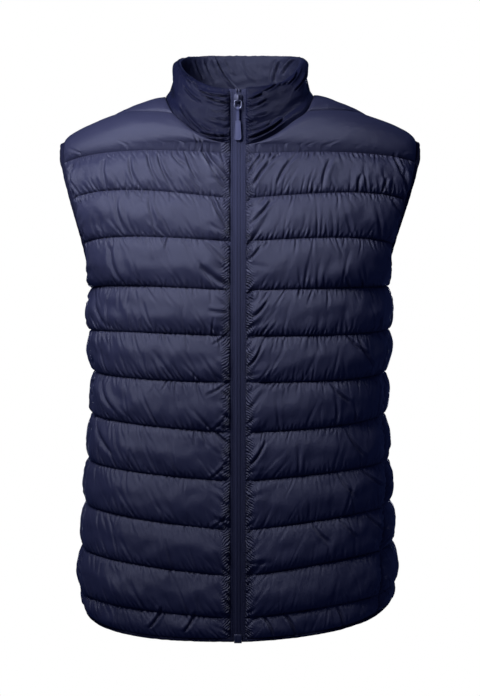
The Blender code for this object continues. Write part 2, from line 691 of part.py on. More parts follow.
def tape(side, name):
    """One woven tape of the zip, from the hem to the collar's top edge."""
    heights = list(np.arange(ZIP_BOTTOM, SLIDER_BOTTOM - 8, TAPE_STEP))
    heights += [SLIDER_BOTTOM - 4, SLIDER_TOP - 7, SLIDER_TOP - 4, SLIDER_TOP - 1, SLIDER_TOP + 2, ZIP_TOP]
    spread = {SLIDER_TOP - 4, SLIDER_TOP - 1}
    bm = bmesh.new()
    loops = []
    for z in heights:
        near = SEAM_GAP / 2 + (POST_WIDTH / 2 + 0.25 if z in spread else 0)
        y = zip_depth(z)
        corners = [(near, y), (TAPE_EDGE, y), (TAPE_EDGE, y + TAPE_THICK), (near, y + TAPE_THICK)]
        loops.append([bm.verts.new((side * x * MM, depth * MM, z * MM)) for x, depth in corners])
    bm.faces.new(loops[0])
    bm.faces.new(loops[-1])
    for one, two in zip(loops[:-1], loops[1:]):
        for i in range(4):
            j = (i + 1) % 4
            bm.faces.new((one[i], one[j], two[j], two[i]))
    return add_object(name, bm, TAPE)


def prism(outline, low, high, axis):
    """Closed body of an outline pushed from low to high along an axis."""
    bm = bmesh.new()
    ends = []
    for at in (low, high):
        ring = []
        for a, b in outline:
            point = [a, b]
            point.insert(axis, at)
            ring.append(bm.verts.new([value * MM for value in point]))
        ends.append(ring)
    bm.faces.new(ends[0])
    bm.faces.new(ends[1])
    for i in range(len(outline)):
        j = (i + 1) % len(outline)
        bm.faces.new((ends[0][i], ends[0][j], ends[1][j], ends[1][i]))
    return bm


def hide(guide):
    """Keep a guide out of the model."""
    guide.hide_render = True
    guide.display_type = "WIRE"
    return guide


def join(body, operation, *others):
    """Boolean modifiers of a body with hidden guides."""
    for other in others:
        step = body.modifiers.new(operation.lower(), "BOOLEAN")
        step.operation = operation
        step.object = hide(other)
        step.solver = "EXACT"
    return body


def slider():
    """The slider: two plates, the post between them and the bridge."""
    middle = (SLIDER_TOP + SLIDER_BOTTOM) / 2
    tape_front = zip_depth(middle)
    front = tape_front - COIL_ROOM
    half, waist = SLIDER_WIDTH / 2, SLIDER_NECK / 2
    outline = [(-half + 1, SLIDER_TOP), (half - 1, SLIDER_TOP), (half, SLIDER_TOP - 1.5),
               (half, middle), (waist, SLIDER_BOTTOM), (-waist, SLIDER_BOTTOM),
               (-half, middle), (-half, SLIDER_TOP - 1.5)]
    body = add_object("zip_slider", prism(outline, front - PLATE_THICK, front, 1), METAL)
    behind = tape_front + TAPE_THICK + COIL_ROOM
    rear = add_object("rear_plate_guide", prism(outline, behind, behind + PLATE_THICK, 1), METAL)
    post_outline = [(-POST_WIDTH / 2, SLIDER_TOP - 3.7), (POST_WIDTH / 2, SLIDER_TOP - 3.7),
                    (POST_WIDTH / 2, SLIDER_TOP - 1.3), (-POST_WIDTH / 2, SLIDER_TOP - 1.3)]
    post = add_object("post_guide", prism(post_outline, front - 0.5, behind + 0.5, 1), METAL)
    face = front - PLATE_THICK
    room = 2 * (WIRE + WIRE_ROOM)
    low, high = SLIDER_BOTTOM + 0.4, SLIDER_TOP - 1.0
    arch = [(face + 0.5, low), (face - room - BRIDGE_THICK + 0.4, low),
            (face - room - BRIDGE_THICK, low + 0.8), (face - room - BRIDGE_THICK, high - 1.5),
            (face + 0.5, high), (face + 0.5, high - 2.0),
            (face - room, high - 2.4), (face - room, low + 1.0), (face + 0.5, low + 1.0)]
    bridge = add_object("bridge_guide", prism(arch, -BRIDGE_WIDTH / 2, BRIDGE_WIDTH / 2, 0), METAL)
    join(body, "UNION", rear, post, bridge)
    axis_y = face - WIRE - WIRE_ROOM
    axis_z = low + 1.0 + WIRE + WIRE_ROOM
    return axis_y, axis_z


def pull_ring(axis_y, axis_z):
    """Wire ring of the pull: its straight top bar lies on the hinge axis."""
    half, low = RING_HALF_WIDTH - WIRE, axis_z - RING_HEIGHT + 2 * WIRE
    turn = 1.6
    route = [(-half + turn, axis_z), (half - turn, axis_z)]
    route += [(half - turn + turn * math.sin(a), axis_z - turn + turn * math.cos(a))
              for a in np.radians((30, 60, 90))]
    bottom = half
    route += [(bottom * math.cos(a), low + bottom + bottom * math.sin(a))
              for a in np.radians((0, -22.5, -45, -67.5, -90, -112.5, -135, -157.5, -180))]
    route += [(-half + turn - turn * math.cos(a), axis_z - turn + turn * math.sin(a))
              for a in np.radians((0, 30, 60))]
    bm = bmesh.new()
    count = len(route)
    loops = []
    sides = 8
    for i, (x, z) in enumerate(route):
        before, after = route[i - 1], route[(i + 1) % count]
        along = unit(np.array([after[0] - before[0], 0, after[1] - before[1]]))
        across = np.cross(along, (0, 1, 0))
        loop = []
        for k in range(sides):
            a = 2 * math.pi * (k + 0.5) / sides
            point = np.array([x, axis_y, z]) + WIRE * (across * math.cos(a) + np.array([0, 1, 0]) * math.sin(a))
            loop.append(bm.verts.new(point * MM))
        loops.append(loop)
    for one, two in zip(loops, loops[1:] + loops[:1]):
        for k in range(sides):
            j = (k + 1) % sides
            bm.faces.new((one[k], one[j], two[j], two[k]))
    return add_object("pull_ring", bm, METAL, smooth=60), low


def pull_tab(axis_y, ring_low):
    """Strap with an eye on the ring, and the moulded tab at its end."""
    eye_z = ring_low
    half = STRAP_THICK / 2
    eye = [(axis_y + EYE_RADIUS * math.sin(a), eye_z + EYE_RADIUS * math.cos(a))
           for a in np.radians(range(-135, 136, 30))]
    side_outline = eye + [(axis_y + half, eye_z - 3.2), (axis_y + half, TAB_TOP - 1.0),
                          (axis_y - half, TAB_TOP - 1.0), (axis_y - half, eye_z - 3.2)]
    strap = add_object("pull_tab", prism(side_outline, -STRAP_WIDTH / 2, STRAP_WIDTH / 2, 0), RUBBER)
    rounding = 1.4
    outline = [(-TAB_TOP_HALF + 0.8, TAB_TOP), (TAB_TOP_HALF - 0.8, TAB_TOP),
               (TAB_TOP_HALF, TAB_TOP - 1.0), (TAB_BOTTOM_HALF, TAB_BOTTOM + rounding),
               (TAB_BOTTOM_HALF - rounding, TAB_BOTTOM), (-TAB_BOTTOM_HALF + rounding, TAB_BOTTOM),
               (-TAB_BOTTOM_HALF, TAB_BOTTOM + rounding), (-TAB_TOP_HALF, TAB_TOP - 1.0)]
    thick = TAB_THICK / 2
    tab = add_object("tab_guide", prism(outline, axis_y - thick, axis_y + thick, 1), RUBBER)
    hole = add_object("eye_guide", wire_hole(axis_y, eye_z), RUBBER)
    join(strap, "UNION", tab)
    return join(strap, "DIFFERENCE", hole)


def wire_hole(y, z):
    """Round cutter along X for the strap's eye."""
    bm = bmesh.new()
    along_x = Matrix.Translation((0, y * MM, z * MM)) @ Matrix.Rotation(math.pi / 2, 4, "Y")
    bmesh.ops.create_cone(bm, cap_ends=True, segments=12, radius1=EYE_HOLE * MM,
                          radius2=EYE_HOLE * MM, depth=2 * STRAP_WIDTH * MM, matrix=along_x)
    return bm


def zip_ends():
    """The box at the bottom of the zip and the two stops at its top."""
    front = zip_depth(BOX_TOP) - SEAM_GAP
    deep = zip_depth(ZIP_BOTTOM) + TAPE_THICK
    shape = [(front, BOX_TOP), (front, ZIP_BOTTOM - SEAM_GAP), (deep, ZIP_BOTTOM - SEAM_GAP),
             (deep, BOX_BOTTOM + 0.8), (deep - 0.8, BOX_BOTTOM), (front - 1.4, BOX_BOTTOM),
             (front - 2.2, BOX_BOTTOM + 0.8), (front - 2.2, BOX_TOP - 0.8), (front - 1.4, BOX_TOP)]
    add_object("zip_box", prism(shape, -BOX_WIDTH / 2, BOX_WIDTH / 2, 0), METAL)
    wide, thick, tall = STOP_SIZE
    top = ZIP_TOP - 0.6
    for side, name in ((RIGHT, "zip_stop_right"), (LEFT, "zip_stop_left")):
        y = zip_depth(top) - SEAM_GAP
        near, far = side * 0.5, side * (0.5 + wide)
        outline = [(near, top - tall), (far, top - tall), (far, top - 0.6), (far - side * 0.6, top), (near, top)]
        add_object(name, prism(outline, y - thick, y, 1), METAL)


def hang_on_axis(pieces, axis_y, axis_z):
    """Parent the pull's pieces to an empty on their hinge axis."""
    hinge = bpy.data.objects.new("pull_hinge", None)
    hinge.location = (0, axis_y * MM, axis_z * MM)
    bpy.context.scene.collection.objects.link(hinge)
    for piece in pieces:
        piece.parent = hinge
        piece.matrix_parent_inverse = Matrix.Translation(hinge.location).inverted()


def main():
    """Build every piece of the vest."""
    for old in list(bpy.data.objects):
        bpy.data.objects.remove(old, do_unlink=True)
    right = front_panel(RIGHT, "front_panel_right")
    left = front_panel(LEFT, "front_panel_left")
    back = back_panel()
    yoke_edges = yoke()
    armhole_binding(RIGHT, "armhole_binding_right", right, back, yoke_edges[RIGHT])
    armhole_binding(LEFT, "armhole_binding_left", left, back, yoke_edges[LEFT])
    hem_binding(right, back, left)
    collar()
    tape(RIGHT, "zip_tape_right")
    tape(LEFT, "zip_tape_left")
    axis_y, axis_z = slider()
    ring, ring_low = pull_ring(axis_y, axis_z)
    tab = pull_tab(axis_y, ring_low)
    hang_on_axis([ring, tab], axis_y, axis_z)
    zip_ends()


main()
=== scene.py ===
"""Visual model of a sleeveless quilted down vest, filled out as worn.

The vest's cloth pieces are rebuilt finely over the same surface as the CAD
model: rings of the body at each stitch line, and a cap over the shoulders.
Every quilted channel is raised between its stitch lines and gathered along
them.  Metres, +Z up, chest to -Y, +X to the wearer's left.  Sizes in the
tables are millimetres, as in the part's own source.
"""
from __future__ import annotations

import logging
import math
from dataclasses import dataclass, field
from enum import Enum
from functools import cache
from typing import Callable, Iterable, Sequence

import bmesh
import bpy
import numpy as np
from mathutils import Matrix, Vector
from mathutils.kdtree import KDTree

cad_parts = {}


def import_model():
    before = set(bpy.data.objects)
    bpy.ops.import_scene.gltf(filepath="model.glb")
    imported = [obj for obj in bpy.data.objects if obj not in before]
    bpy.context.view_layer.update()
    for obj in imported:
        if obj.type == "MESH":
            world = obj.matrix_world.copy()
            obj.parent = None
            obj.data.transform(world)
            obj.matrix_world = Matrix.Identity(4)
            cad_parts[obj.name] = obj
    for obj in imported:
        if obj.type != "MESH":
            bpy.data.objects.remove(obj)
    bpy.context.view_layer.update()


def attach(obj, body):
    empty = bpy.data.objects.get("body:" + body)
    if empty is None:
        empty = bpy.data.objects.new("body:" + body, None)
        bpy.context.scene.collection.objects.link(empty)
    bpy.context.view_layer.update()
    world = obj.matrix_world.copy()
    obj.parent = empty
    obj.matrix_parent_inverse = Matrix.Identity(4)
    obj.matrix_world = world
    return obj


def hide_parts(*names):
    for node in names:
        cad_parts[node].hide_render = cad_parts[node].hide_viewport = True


LOG = logging.getLogger("vest")
MM = 0.001
Array = np.ndarray
Piece = bpy.types.Object
Outline = Sequence[tuple[float, float]]


class Side(Enum):
    """The wearer's sides, as the sign of X."""

    RIGHT = -1
    LEFT = 1


# ---- surface of the vest, as in the part's source ---------------------------
SEAM_LAP = 0.25              # sewn pieces meet under each other's edges
WALL = 2.0
PUFF = 7.6                   # loft of a channel over its stitch lines
CAP_PUFF = 7.0               # loft of the top channel, over the shoulder
YOKE_PUFF = 3.0
HEM_PUFF = 4.4
EDGE_RISE = 20.0             # how far from a side edge the loft is full
SINK = -0.4                  # deepest relief of a quilted panel
ROUNDNESS = 2.5              # power of the body's rounded sections
PANEL_EDGE = 9.5             # |x| of the front panels' edges at the zip
TAPE_THICK = 1.6
BINDING_WIDTH = 6.0
BINDING_THICK = 3.0
HEM_BINDING = 3.5
COLLAR_SHELL = 2.2
SEAM_GAP = 0.3
FRONT_CAP_POWER = 2.0
BACK_CAP_POWER = 3.0
NECK_CORNER = 4              # point of the neck seam where the shoulder seam starts
NECK_REAR = 8                # and where the yoke's back part starts
YOKE_CORNER = 0.36           # share of the half back under that part
ZIP_SHARE = 0.06             # share of the top channel's height beside the zip
WAIST_RING = 5.0             # stitch line along which the columns are even
ARMHOLE_RING = 8             # stitch line at the armholes' foot
CHEST_RING = 11              # topmost stitch line

# half widths right and left, front and back depth, seam depths right and left,
# and the stitch line's height at the zip, mid fronts, side seams and mid back
RINGS = np.array([
    (190, 191, 112, 108, 30, 66, -662.5, -656, -652, -636, -636, -609),
    (194, 193, 113, 111, 32, 65, -637, -626, -624, -614, -614, -592),
    (191, 190, 114, 112, 28, 60, -586, -572, -570, -560, -561, -543),
    (187, 187, 115, 108, 16, 50, -531, -516, -517, -504, -508, -491),
    (184, 184, 116, 101, 22, 42, -472, -461, -461, -450, -453, -440),
    (180, 181, 118, 96, 32, 41, -414, -404, -406, -394, -395, -389),
    (178, 182, 121, 94, 34, 40, -354, -349, -351, -341, -343, -338),
    (183, 187, 123, 98, 24, 34, -298, -293, -296, -290, -289, -288),
    (181, 186, 122, 104, 0, 0, -243, -237, -239, -238, -235, -236),
], float)
# chest above the armholes: front and back depth, heights at zip, mid fronts
# and mid back, and how far round the front and back sections turn
CHEST = np.array([
    (122, 104, -243, -237, -239, -236, 90, 90),
    (117, 109, -184, -178, -179, -183, 74, 74),
    (105, 108, -131.5, -121, -124, -131, 66, 66),
    (89, 99, -76, -72.5, -74.5, -82, 58, 62),
], float)
# panel edges round the armholes: ring count, x, y, z
FRONT_EDGE = {
    Side.RIGHT: [(8, -181, 0, -238), (8.15, -181.5, -26, -232), (8.5, -183, -48, -213),
                 (9, -188, -58, -184), (10, -202, -60, -130), (11, -214, -38, -84)],
    Side.LEFT: [(8, 186, 0, -235), (8.15, 184.5, -26, -230), (8.5, 184, -48, -212),
                (9, 189, -58, -185), (10, 205, -60, -131), (11, 219, -38, -83)],
}
BACK_EDGE = {
    Side.RIGHT: [(8, -181, 0, -238), (8.15, -181, 24, -232), (8.5, -181, 43, -213),
                 (9, -184, 53, -184), (10, -194, 58, -131), (11, -206, 46, -86)],
    Side.LEFT: [(8, 186, 0, -235), (8.15, 184, 24, -230), (8.5, 183, 43, -212),
                (9, 186, 53, -184), (10, 197, 58, -131), (11, 211, 46, -86)],
}
# shoulder ridge from the middle out: |x|, z
RIDGE = {
    Side.RIGHT: [(0, 18), (45, 13), (89, 0), (110, -7), (135, -16), (160, -27), (185, -39), (217, -57)],
    Side.LEFT: [(0, 18), (45, 15), (93, 2), (115, -5), (140, -15), (165, -27), (190, -38), (223, -56)],
}
# seams on the shoulder cap: |x| and turn from the ridge in degrees, + to the front
NECK_SEAM = {
    Side.RIGHT: [(PANEL_EDGE, 83), (30, 81), (46, 76), (60, 69), (79, 52), (88, 25), (89, 0),
                 (84, -18), (68, -32), (40, -40), (0, -42)],
    Side.LEFT: [(PANEL_EDGE, 84), (30, 81), (50, 74), (68, 63), (84, 50), (92, 25), (93, 0),
                (87, -18), (70, -32), (41, -40), (0, -42)],
}
SHOULDER_SEAM = {
    Side.RIGHT: [(79, 52), (121, 33), (160, 3), (216, -18)],
    Side.LEFT: [(84, 50), (126, 33), (170, 3), (221, -18)],
}
# collar's top edge from the zip to the middle back: |x|, y, z
COLLAR_TOP = {
    Side.RIGHT: [(9.5, -84.5, 2), (32, -77, 6), (50, -63, 15), (63, -43, 27), (71, -18, 40),
                 (71, 12, 49), (62, 42, 56), (40, 62, 60), (0, 72, 61)],
    Side.LEFT: [(9.5, -84.5, 4), (32, -77, 7), (52, -63, 13), (66, -43, 26), (77, -18, 42),
                (78, 12, 51), (66, 42, 57), (42, 62, 60), (0, 72, 61)],
}
# rise up the collar, loft of its outer side and of its inner side
COLLAR_ROWS = np.array([(0.0, 0.0, 0.0), (0.12, 3.0, 0.6), (0.27, 0.8, 1.2), (0.48, 4.5, 2.2),
                        (0.75, 5.0, 2.2), (0.93, 3.2, 1.2), (1.0, 0.6, 0.0)])
COLLAR_FRONT = [(-76, -89), (-67, -87.4), (-45, -86.2), (-20, -85.4), (4, -84.5)]
ZIP_TOP = 3.0
ZIP_BOTTOM = -663.5


def through(keys: Sequence[float], values: Sequence, at: Array) -> Array:
    """Smooth curve through values at rising keys.

    Args:
        keys: rising parameter of each row.
        values: one row of numbers for each key.
        at: parameters to read the curve at.

    Returns:
        The rows at those parameters, in a new last axis.
    """
    keys = np.asarray(keys, float)
    values = np.asarray(values, float)
    at = np.asarray(at, float)
    slopes = np.diff(values, axis=0) / np.diff(keys)[:, None]
    ends = np.concatenate([slopes[:1], (slopes[:-1] + slopes[1:]) / 2, slopes[-1:]])
    i = np.clip(np.searchsorted(keys, at, side="right") - 1, 0, len(keys) - 2)
    h = (keys[i + 1] - keys[i])[..., None]
    t = np.clip((at[..., None] - keys[i][..., None]) / h, 0.0, 1.0)
    return ((1 + 2 * t) * (1 - t) ** 2 * values[i] + t * (1 - t) ** 2 * h * ends[i]
            + t * t * (3 - 2 * t) * values[i + 1] + t * t * (t - 1) * h * ends[i + 1])


def corner(turn: Array, power: float = ROUNDNESS) -> tuple[Array, Array]:
    """Shares of the half width and of the depth of a rounded section at a turn."""
    return np.abs(np.sin(turn)) ** (2 / power), np.abs(np.cos(turn)) ** (2 / power)


def pairs(first: Array, second: Array) -> Array:
    """Rows of two values."""
    return np.stack([first, second], axis=-1)


def unit(vectors: Array) -> Array:
    """Vectors scaled to length one."""
    return vectors / np.maximum(np.linalg.norm(vectors, axis=-1, keepdims=True), 1e-9)


def grid_normals(grid: Array) -> Array:
    """Normals of a grid of points, turned away from the upright middle line."""
    normals = unit(np.cross(np.gradient(grid, axis=1), np.gradient(grid, axis=0)))
    away = grid * np.array([1, 1, 0])
    return normals * np.sign((normals * away).sum(axis=-1).mean())


def run_length(grid: Array, axis: int = 1) -> Array:
    """Distance run along each row (axis 1) or column (axis 0) of a grid."""
    steps = np.linalg.norm(np.diff(grid, axis=axis), axis=-1)
    start = np.zeros_like(np.take(steps, [0], axis=axis))
    return np.concatenate([start, np.cumsum(steps, axis=axis)], axis=axis)


class BodySurface:
    """Stitch-level surface of the vest, in millimetres."""

    def __init__(self) -> None:
        """Tabulate the topmost stitch line, which carries the shoulder cap."""
        share = np.linspace(0, 1, 601)
        self.foot = {}
        for side in Side:
            self.foot[side, True] = self.front(side, share, np.full_like(share, CHEST_RING))
            self.foot[side, False] = self.back(side, share, np.full_like(share, CHEST_RING))

    @staticmethod
    def sections(step: Array) -> tuple[Array, Array]:
        """Rows of the body and of the chest above it at stitch-line counts."""
        return (through(range(len(RINGS)), RINGS, np.minimum(step, ARMHOLE_RING)),
                through(range(ARMHOLE_RING, CHEST_RING + 1), CHEST, np.maximum(step, ARMHOLE_RING)))

    @staticmethod
    def high_edge(table: Sequence[tuple[float, ...]], step: Array) -> Array:
        """Panel edge round an armhole at stitch-line counts."""
        rows = np.array(table)
        return through(rows[:, 0], rows[:, 1:], np.maximum(step, ARMHOLE_RING))

    @staticmethod
    def seam_turn(ring: Array, side: Side) -> Array:
        """Turn from the chest's middle to the side seam."""
        seam = ring[..., 4 if side is Side.RIGHT else 5]
        return np.arccos(np.clip(np.maximum(seam, 0) / ring[..., 2], 0, 1) ** (ROUNDNESS / 2))

    def front(self, side: Side, u: Array, step: Array) -> Array:
        """Points of a front panel.

        Args:
            side: which front.
            u: share from the zip to the panel's edge.
            step: stitch lines counted up from the hem.

        Returns:
            Points at stitch level.
        """
        u, step = np.broadcast_arrays(np.asarray(u, float), np.asarray(step, float))
        right = side is Side.RIGHT
        ring, chest = self.sections(step)
        turn_low = self.seam_turn(ring, side)
        wide, deep = corner(turn_low)
        low_edge = np.stack([side.value * ring[..., 0 if right else 1] * wide, -ring[..., 2] * deep,
                             ring[..., 9 if right else 10]], axis=-1)
        low = step <= ARMHOLE_RING
        turn = np.where(low, turn_low, np.radians(chest[..., 6]))
        depth = np.where(low, ring[..., 2], chest[..., 0])
        zip_z = np.where(low, ring[..., 6], chest[..., 2])
        mid_z = np.where(low, ring[..., 7 if right else 8], chest[..., 3 if right else 4])
        edge = np.where(low[..., None], low_edge, self.high_edge(FRONT_EDGE[side], step))
        full_wide, full_deep = corner(turn)
        wide, deep = corner(u * turn)
        inner = side.value * PANEL_EDGE
        x = inner + (edge[..., 0] - inner) * wide / full_wide
        y = edge[..., 1] + (-depth - edge[..., 1]) * (deep - full_deep) / (1 - full_deep)
        z = zip_z * (1 - u) * (1 - 2 * u) + mid_z * 4 * u * (1 - u) + edge[..., 2] * u * (2 * u - 1)
        return np.stack([x, y, z], axis=-1)

    def back(self, side: Side, t: Array, step: Array) -> Array:
        """Points of the back.

        Args:
            side: which half.
            t: share from the middle to the edge.
            step: stitch lines counted up from the hem.

        Returns:
            Points at stitch level.
        """
        t, step = np.broadcast_arrays(np.asarray(t, float), np.asarray(step, float))
        right = side is Side.RIGHT
        ring, chest = self.sections(step)
        turn = t * (math.pi - self.seam_turn(ring, side))
        wide, deep = corner(turn)
        y = np.where(turn < math.pi / 2, ring[..., 3] * deep, -ring[..., 2] * deep)
        z = ring[..., 11] + (ring[..., 9 if right else 10] - ring[..., 11]) * t ** 4
        low = np.stack([side.value * ring[..., 0 if right else 1] * wide, y, z], axis=-1)
        edge = self.high_edge(BACK_EDGE[side], step)
        turn = np.radians(chest[..., 7])
        full_wide, full_deep = corner(turn)
        wide, deep = corner(t * turn)
        y = edge[..., 1] + (chest[..., 1] - edge[..., 1]) * (deep - full_deep) / (1 - full_deep)
        z = chest[..., 5] + (edge[..., 2] - chest[..., 5]) * t ** 4
        high = np.stack([edge[..., 0] * wide / full_wide, y, z], axis=-1)
        return np.where((step <= ARMHOLE_RING)[..., None], low, high)

    def cap(self, side: Side, places: Array) -> Array:
        """Points of the shoulder cap.

        Args:
            side: which shoulder.
            places: rows of |x| and turn from the ridge.

        Returns:
            Points at stitch level.
        """
        x, turn = places[..., 0], places[..., 1]
        ridge = np.array(RIDGE[side], float)
        top = through(ridge[:, 0], ridge[:, 1:], x)[..., 0]
        points = []
        for front, power in ((True, FRONT_CAP_POWER), (False, BACK_CAP_POWER)):
            foot = self.foot[side, front]
            keys = np.abs(foot[:, 0])
            foot_y, foot_z = np.interp(x, keys, foot[:, 1]), np.interp(x, keys, foot[:, 2])
            out, up = corner(np.radians(np.abs(turn)), power)
            points.append(np.stack([side.value * x, foot_y * out, foot_z + (top - foot_z) * up], axis=-1))
        return np.where((turn >= 0)[..., None], points[0], points[1])

    def cap_normals(self, side: Side, places: Array) -> Array:
        """Outward normals of the shoulder cap."""
        x, turn = places[..., 0], places[..., 1]
        along = self.cap(side, pairs(x + 1, turn)) - self.cap(side, pairs(x - 1, turn))
        turn = np.clip(turn, -88, 88)
        across = self.cap(side, pairs(x, turn + 1.5)) - self.cap(side, pairs(x, turn - 1.5))
        return unit(np.cross(along, across) * -side.value)

    def zip_depth(self, z: Array) -> Array:
        """Y of the stitch-level surface along the zip at each height."""
        z = np.asarray(z, float)
        body = [(ring[6], -ring[2]) for ring in RINGS] + [(ring[2], -ring[0]) for ring in CHEST[1:]]
        low, high = (through([row[0] for row in rows], [row[1:] for row in rows], z)[..., 0]
                     for rows in (body, COLLAR_FRONT))
        return np.where(z > COLLAR_FRONT[0][0], high, low)


def cap_line(table: Sequence[tuple[float, float]], t: Array) -> Array:
    """|x| and turn along a seam on the cap; t counts the table's points."""
    return through(range(len(table)), table, t)


def patch(bottom: Callable, top: Callable, start: Callable, end: Callable, u: Array, w: Array) -> Array:
    """Blend of four edges of a patch on the cap.

    Args:
        bottom: |x| and turn at shares along the lower edge.
        top: the same for the upper edge.
        start: the same at shares up the first side.
        end: the same up the last side.
        u: shares along.
        w: shares up.

    Returns:
        Grid of |x| and turn, rows up and columns along.
    """
    zero, one = np.array([0.0]), np.array([1.0])
    uu, ww = u[None, :, None], w[:, None, None]
    flat = ((1 - uu) * (1 - ww) * bottom(zero)[0] + uu * (1 - ww) * bottom(one)[0]
            + (1 - uu) * ww * top(zero)[0] + uu * ww * top(one)[0])
    return ((1 - ww) * bottom(u)[None] + ww * top(u)[None] + (1 - uu) * start(w)[:, None]
            + uu * end(w)[:, None] - flat)


SURFACE = BodySurface()


# ---- gathers and creases ----------------------------------------------------
PIXEL = 1.25                 # millimetres of a pixel of the photo's frame
CAMERA_AWAY = 3000.0
CAMERA_HEIGHT = -312.5


class Noise:
    """Smooth seeded noise on numpy arrays."""

    def __init__(self, seed: int) -> None:
        """Draw the table of gradients.

        Args:
            seed: any whole number; the same seed gives the same noise.
        """
        draw = np.random.default_rng(seed)
        self.order = draw.permutation(512)
        angle = draw.uniform(0, 2 * math.pi, 512)
        self.gradient = np.stack([np.cos(angle), np.sin(angle)], axis=-1)

    def at(self, x: Array, y: Array | float = 0.0) -> Array:
        """Read the noise.

        Args:
            x: first coordinate, one for each lump.
            y: second coordinate.

        Returns:
            About -1 to 1 at each point.
        """
        x, y = np.broadcast_arrays(np.asarray(x, float), np.asarray(y, float))
        x0, y0 = np.floor(x).astype(int), np.floor(y).astype(int)
        fx, fy = x - x0, y - y0
        total = np.zeros_like(fx)
        for i in (0, 1):
            for j in (0, 1):
                slot = self.order[(self.order[(x0 + i) & 511] + y0 + j) & 511]
                slope = self.gradient[slot]
                dot = slope[..., 0] * (fx - i) + slope[..., 1] * (fy - j)
                wide, high = (w * w * w * (w * (w * 6 - 15) + 10)
                              for w in (fx if i else 1 - fx, fy if j else 1 - fy))
                total += dot * wide * high
        return total * 1.5


@dataclass(frozen=True)
class Crease:
    """A fold of the cloth, placed on the outer side as it is seen from the front.

    The ends are pixels of the 480 x 696 frame; width and depth are millimetres.
    """

    start_x: float
    start_y: float
    end_x: float
    end_y: float
    width: float
    depth: float


def bell(off: Array, width: Array | float) -> Array:
    """One at no distance, dying away over a width."""
    return np.exp(-(off / width) ** 2)


def frame_pixels(points: Array) -> tuple[Array, Array]:
    """Pixels of the photo's frame at which points of the vest are seen."""
    near = PIXEL * (1 + points[..., 1] / CAMERA_AWAY)
    return 238 + points[..., 0] / near, 348 - (points[..., 2] - CAMERA_HEIGHT) / near


def crease_relief(px: Array, py: Array, creases: Iterable[Crease]) -> Array:
    """Depth of folds at pixels: a valley with a soft ridge on each side.

    Args:
        px: pixels across.
        py: pixels down.
        creases: the folds.

    Returns:
        Millimetres along the outward normal.
    """
    relief = np.zeros_like(px)
    for crease in creases:
        x0, y0, w = crease.start_x, crease.start_y, crease.width
        dx, dy = crease.end_x - x0, crease.end_y - y0
        length = math.hypot(dx, dy)
        along = ((px - x0) * dx + (py - y0) * dy) / length ** 2
        bow = 0.06 * length * np.sin(np.clip(along, 0, 1) * math.pi)
        off = (((px - x0) * dy - (py - y0) * dx) / length + bow) * PIXEL
        reach = np.clip(1 - (2 * along - 1) ** 4, 0, 1) * ((along > 0) & (along < 1))
        ridges = 0.55 * bell(off - 0.9 * w, 0.7 * w) + 0.35 * bell(off + 0.9 * w, 0.6 * w)
        relief += crease.depth * reach * (ridges - bell(off, 0.4 * w))
    return relief


@dataclass(frozen=True)
class Gathers:
    """One family of folds that start at a seam and die away from it, in millimetres."""

    pitch: float                 # mean distance between folds
    length: tuple[float, float]
    width: tuple[float, float]   # half width of the valley
    depth: tuple[float, float]
    sway: float = 0.25           # spread of the slant

    def relief(self, draw: np.random.Generator, along: Array, off: Array, lean: Callable[[float], float]) -> Array:
        """Relief of the family over a grid.

        Args:
            draw: source of the folds' places and sizes.
            along: distance along the seam; it rises with the columns.
            off: distance from the seam; it changes with the rows.
            lean: slant away from square at a distance along the seam.

        Returns:
            Millimetres along the outward normal.
        """
        total = np.zeros_like(along)
        middle, near = along[len(along) // 2], off.min(axis=1)
        zones = Noise(int(draw.integers(1, 9999)))
        at = float(along.min()) + self.pitch * draw.uniform(0, 1)
        while at < float(along.max()):
            length, width, depth = (draw.uniform(*limits) for limits in (self.length, self.width, self.depth))
            slant, bend = lean(at) + draw.normal(0, self.sway), draw.normal(0, 0.12)
            depth *= 0.45 + 1.1 * abs(float(zones.at(at / 42.0, 0.5)))
            reach = (abs(slant) + 0.4) * length + 6 * width
            columns = slice(*np.searchsorted(middle, (at - reach, at + reach)))
            rows = np.flatnonzero(near < length)
            at += self.pitch * draw.uniform(0.4, 1.6)
            if columns.start == columns.stop or len(rows) == 0:
                continue
            window = slice(rows[0], rows[-1] + 1), columns
            run = off[window]
            share = np.clip(run / length, 0, 1)
            aside = along[window] - (at - self.pitch) - slant * run - bend * run * share
            aside = aside / math.hypot(1, slant)
            wide = width * (0.8 + 0.9 * share)
            fade = (1 - share ** 1.6) * (1 - bell(run, 0.9))
            ridges = 0.5 * bell(aside - 2.0 * wide, 1.4 * wide) + 0.3 * bell(aside + 1.9 * wide, 1.3 * wide)
            total[window] += depth * fade * (ridges - bell(aside, wide))
        return total


PUCKERS = Gathers(4.6, (4, 11), (0.8, 1.15), (1.2, 2.4))
PULLS = Gathers(13.5, (12, 30), (0.9, 1.5), (0.8, 2.2))
LONG_PULLS = Gathers(34.0, (30, 52), (1.1, 1.9), (1.0, 2.4), sway=0.18)
END_TUFTS = Gathers(6.0, (5, 15), (1.2, 1.7), (0.9, 1.8), sway=0.35)
END_PULLS = Gathers(15.0, (14, 34), (1.5, 2.4), (0.9, 2.2), sway=0.35)


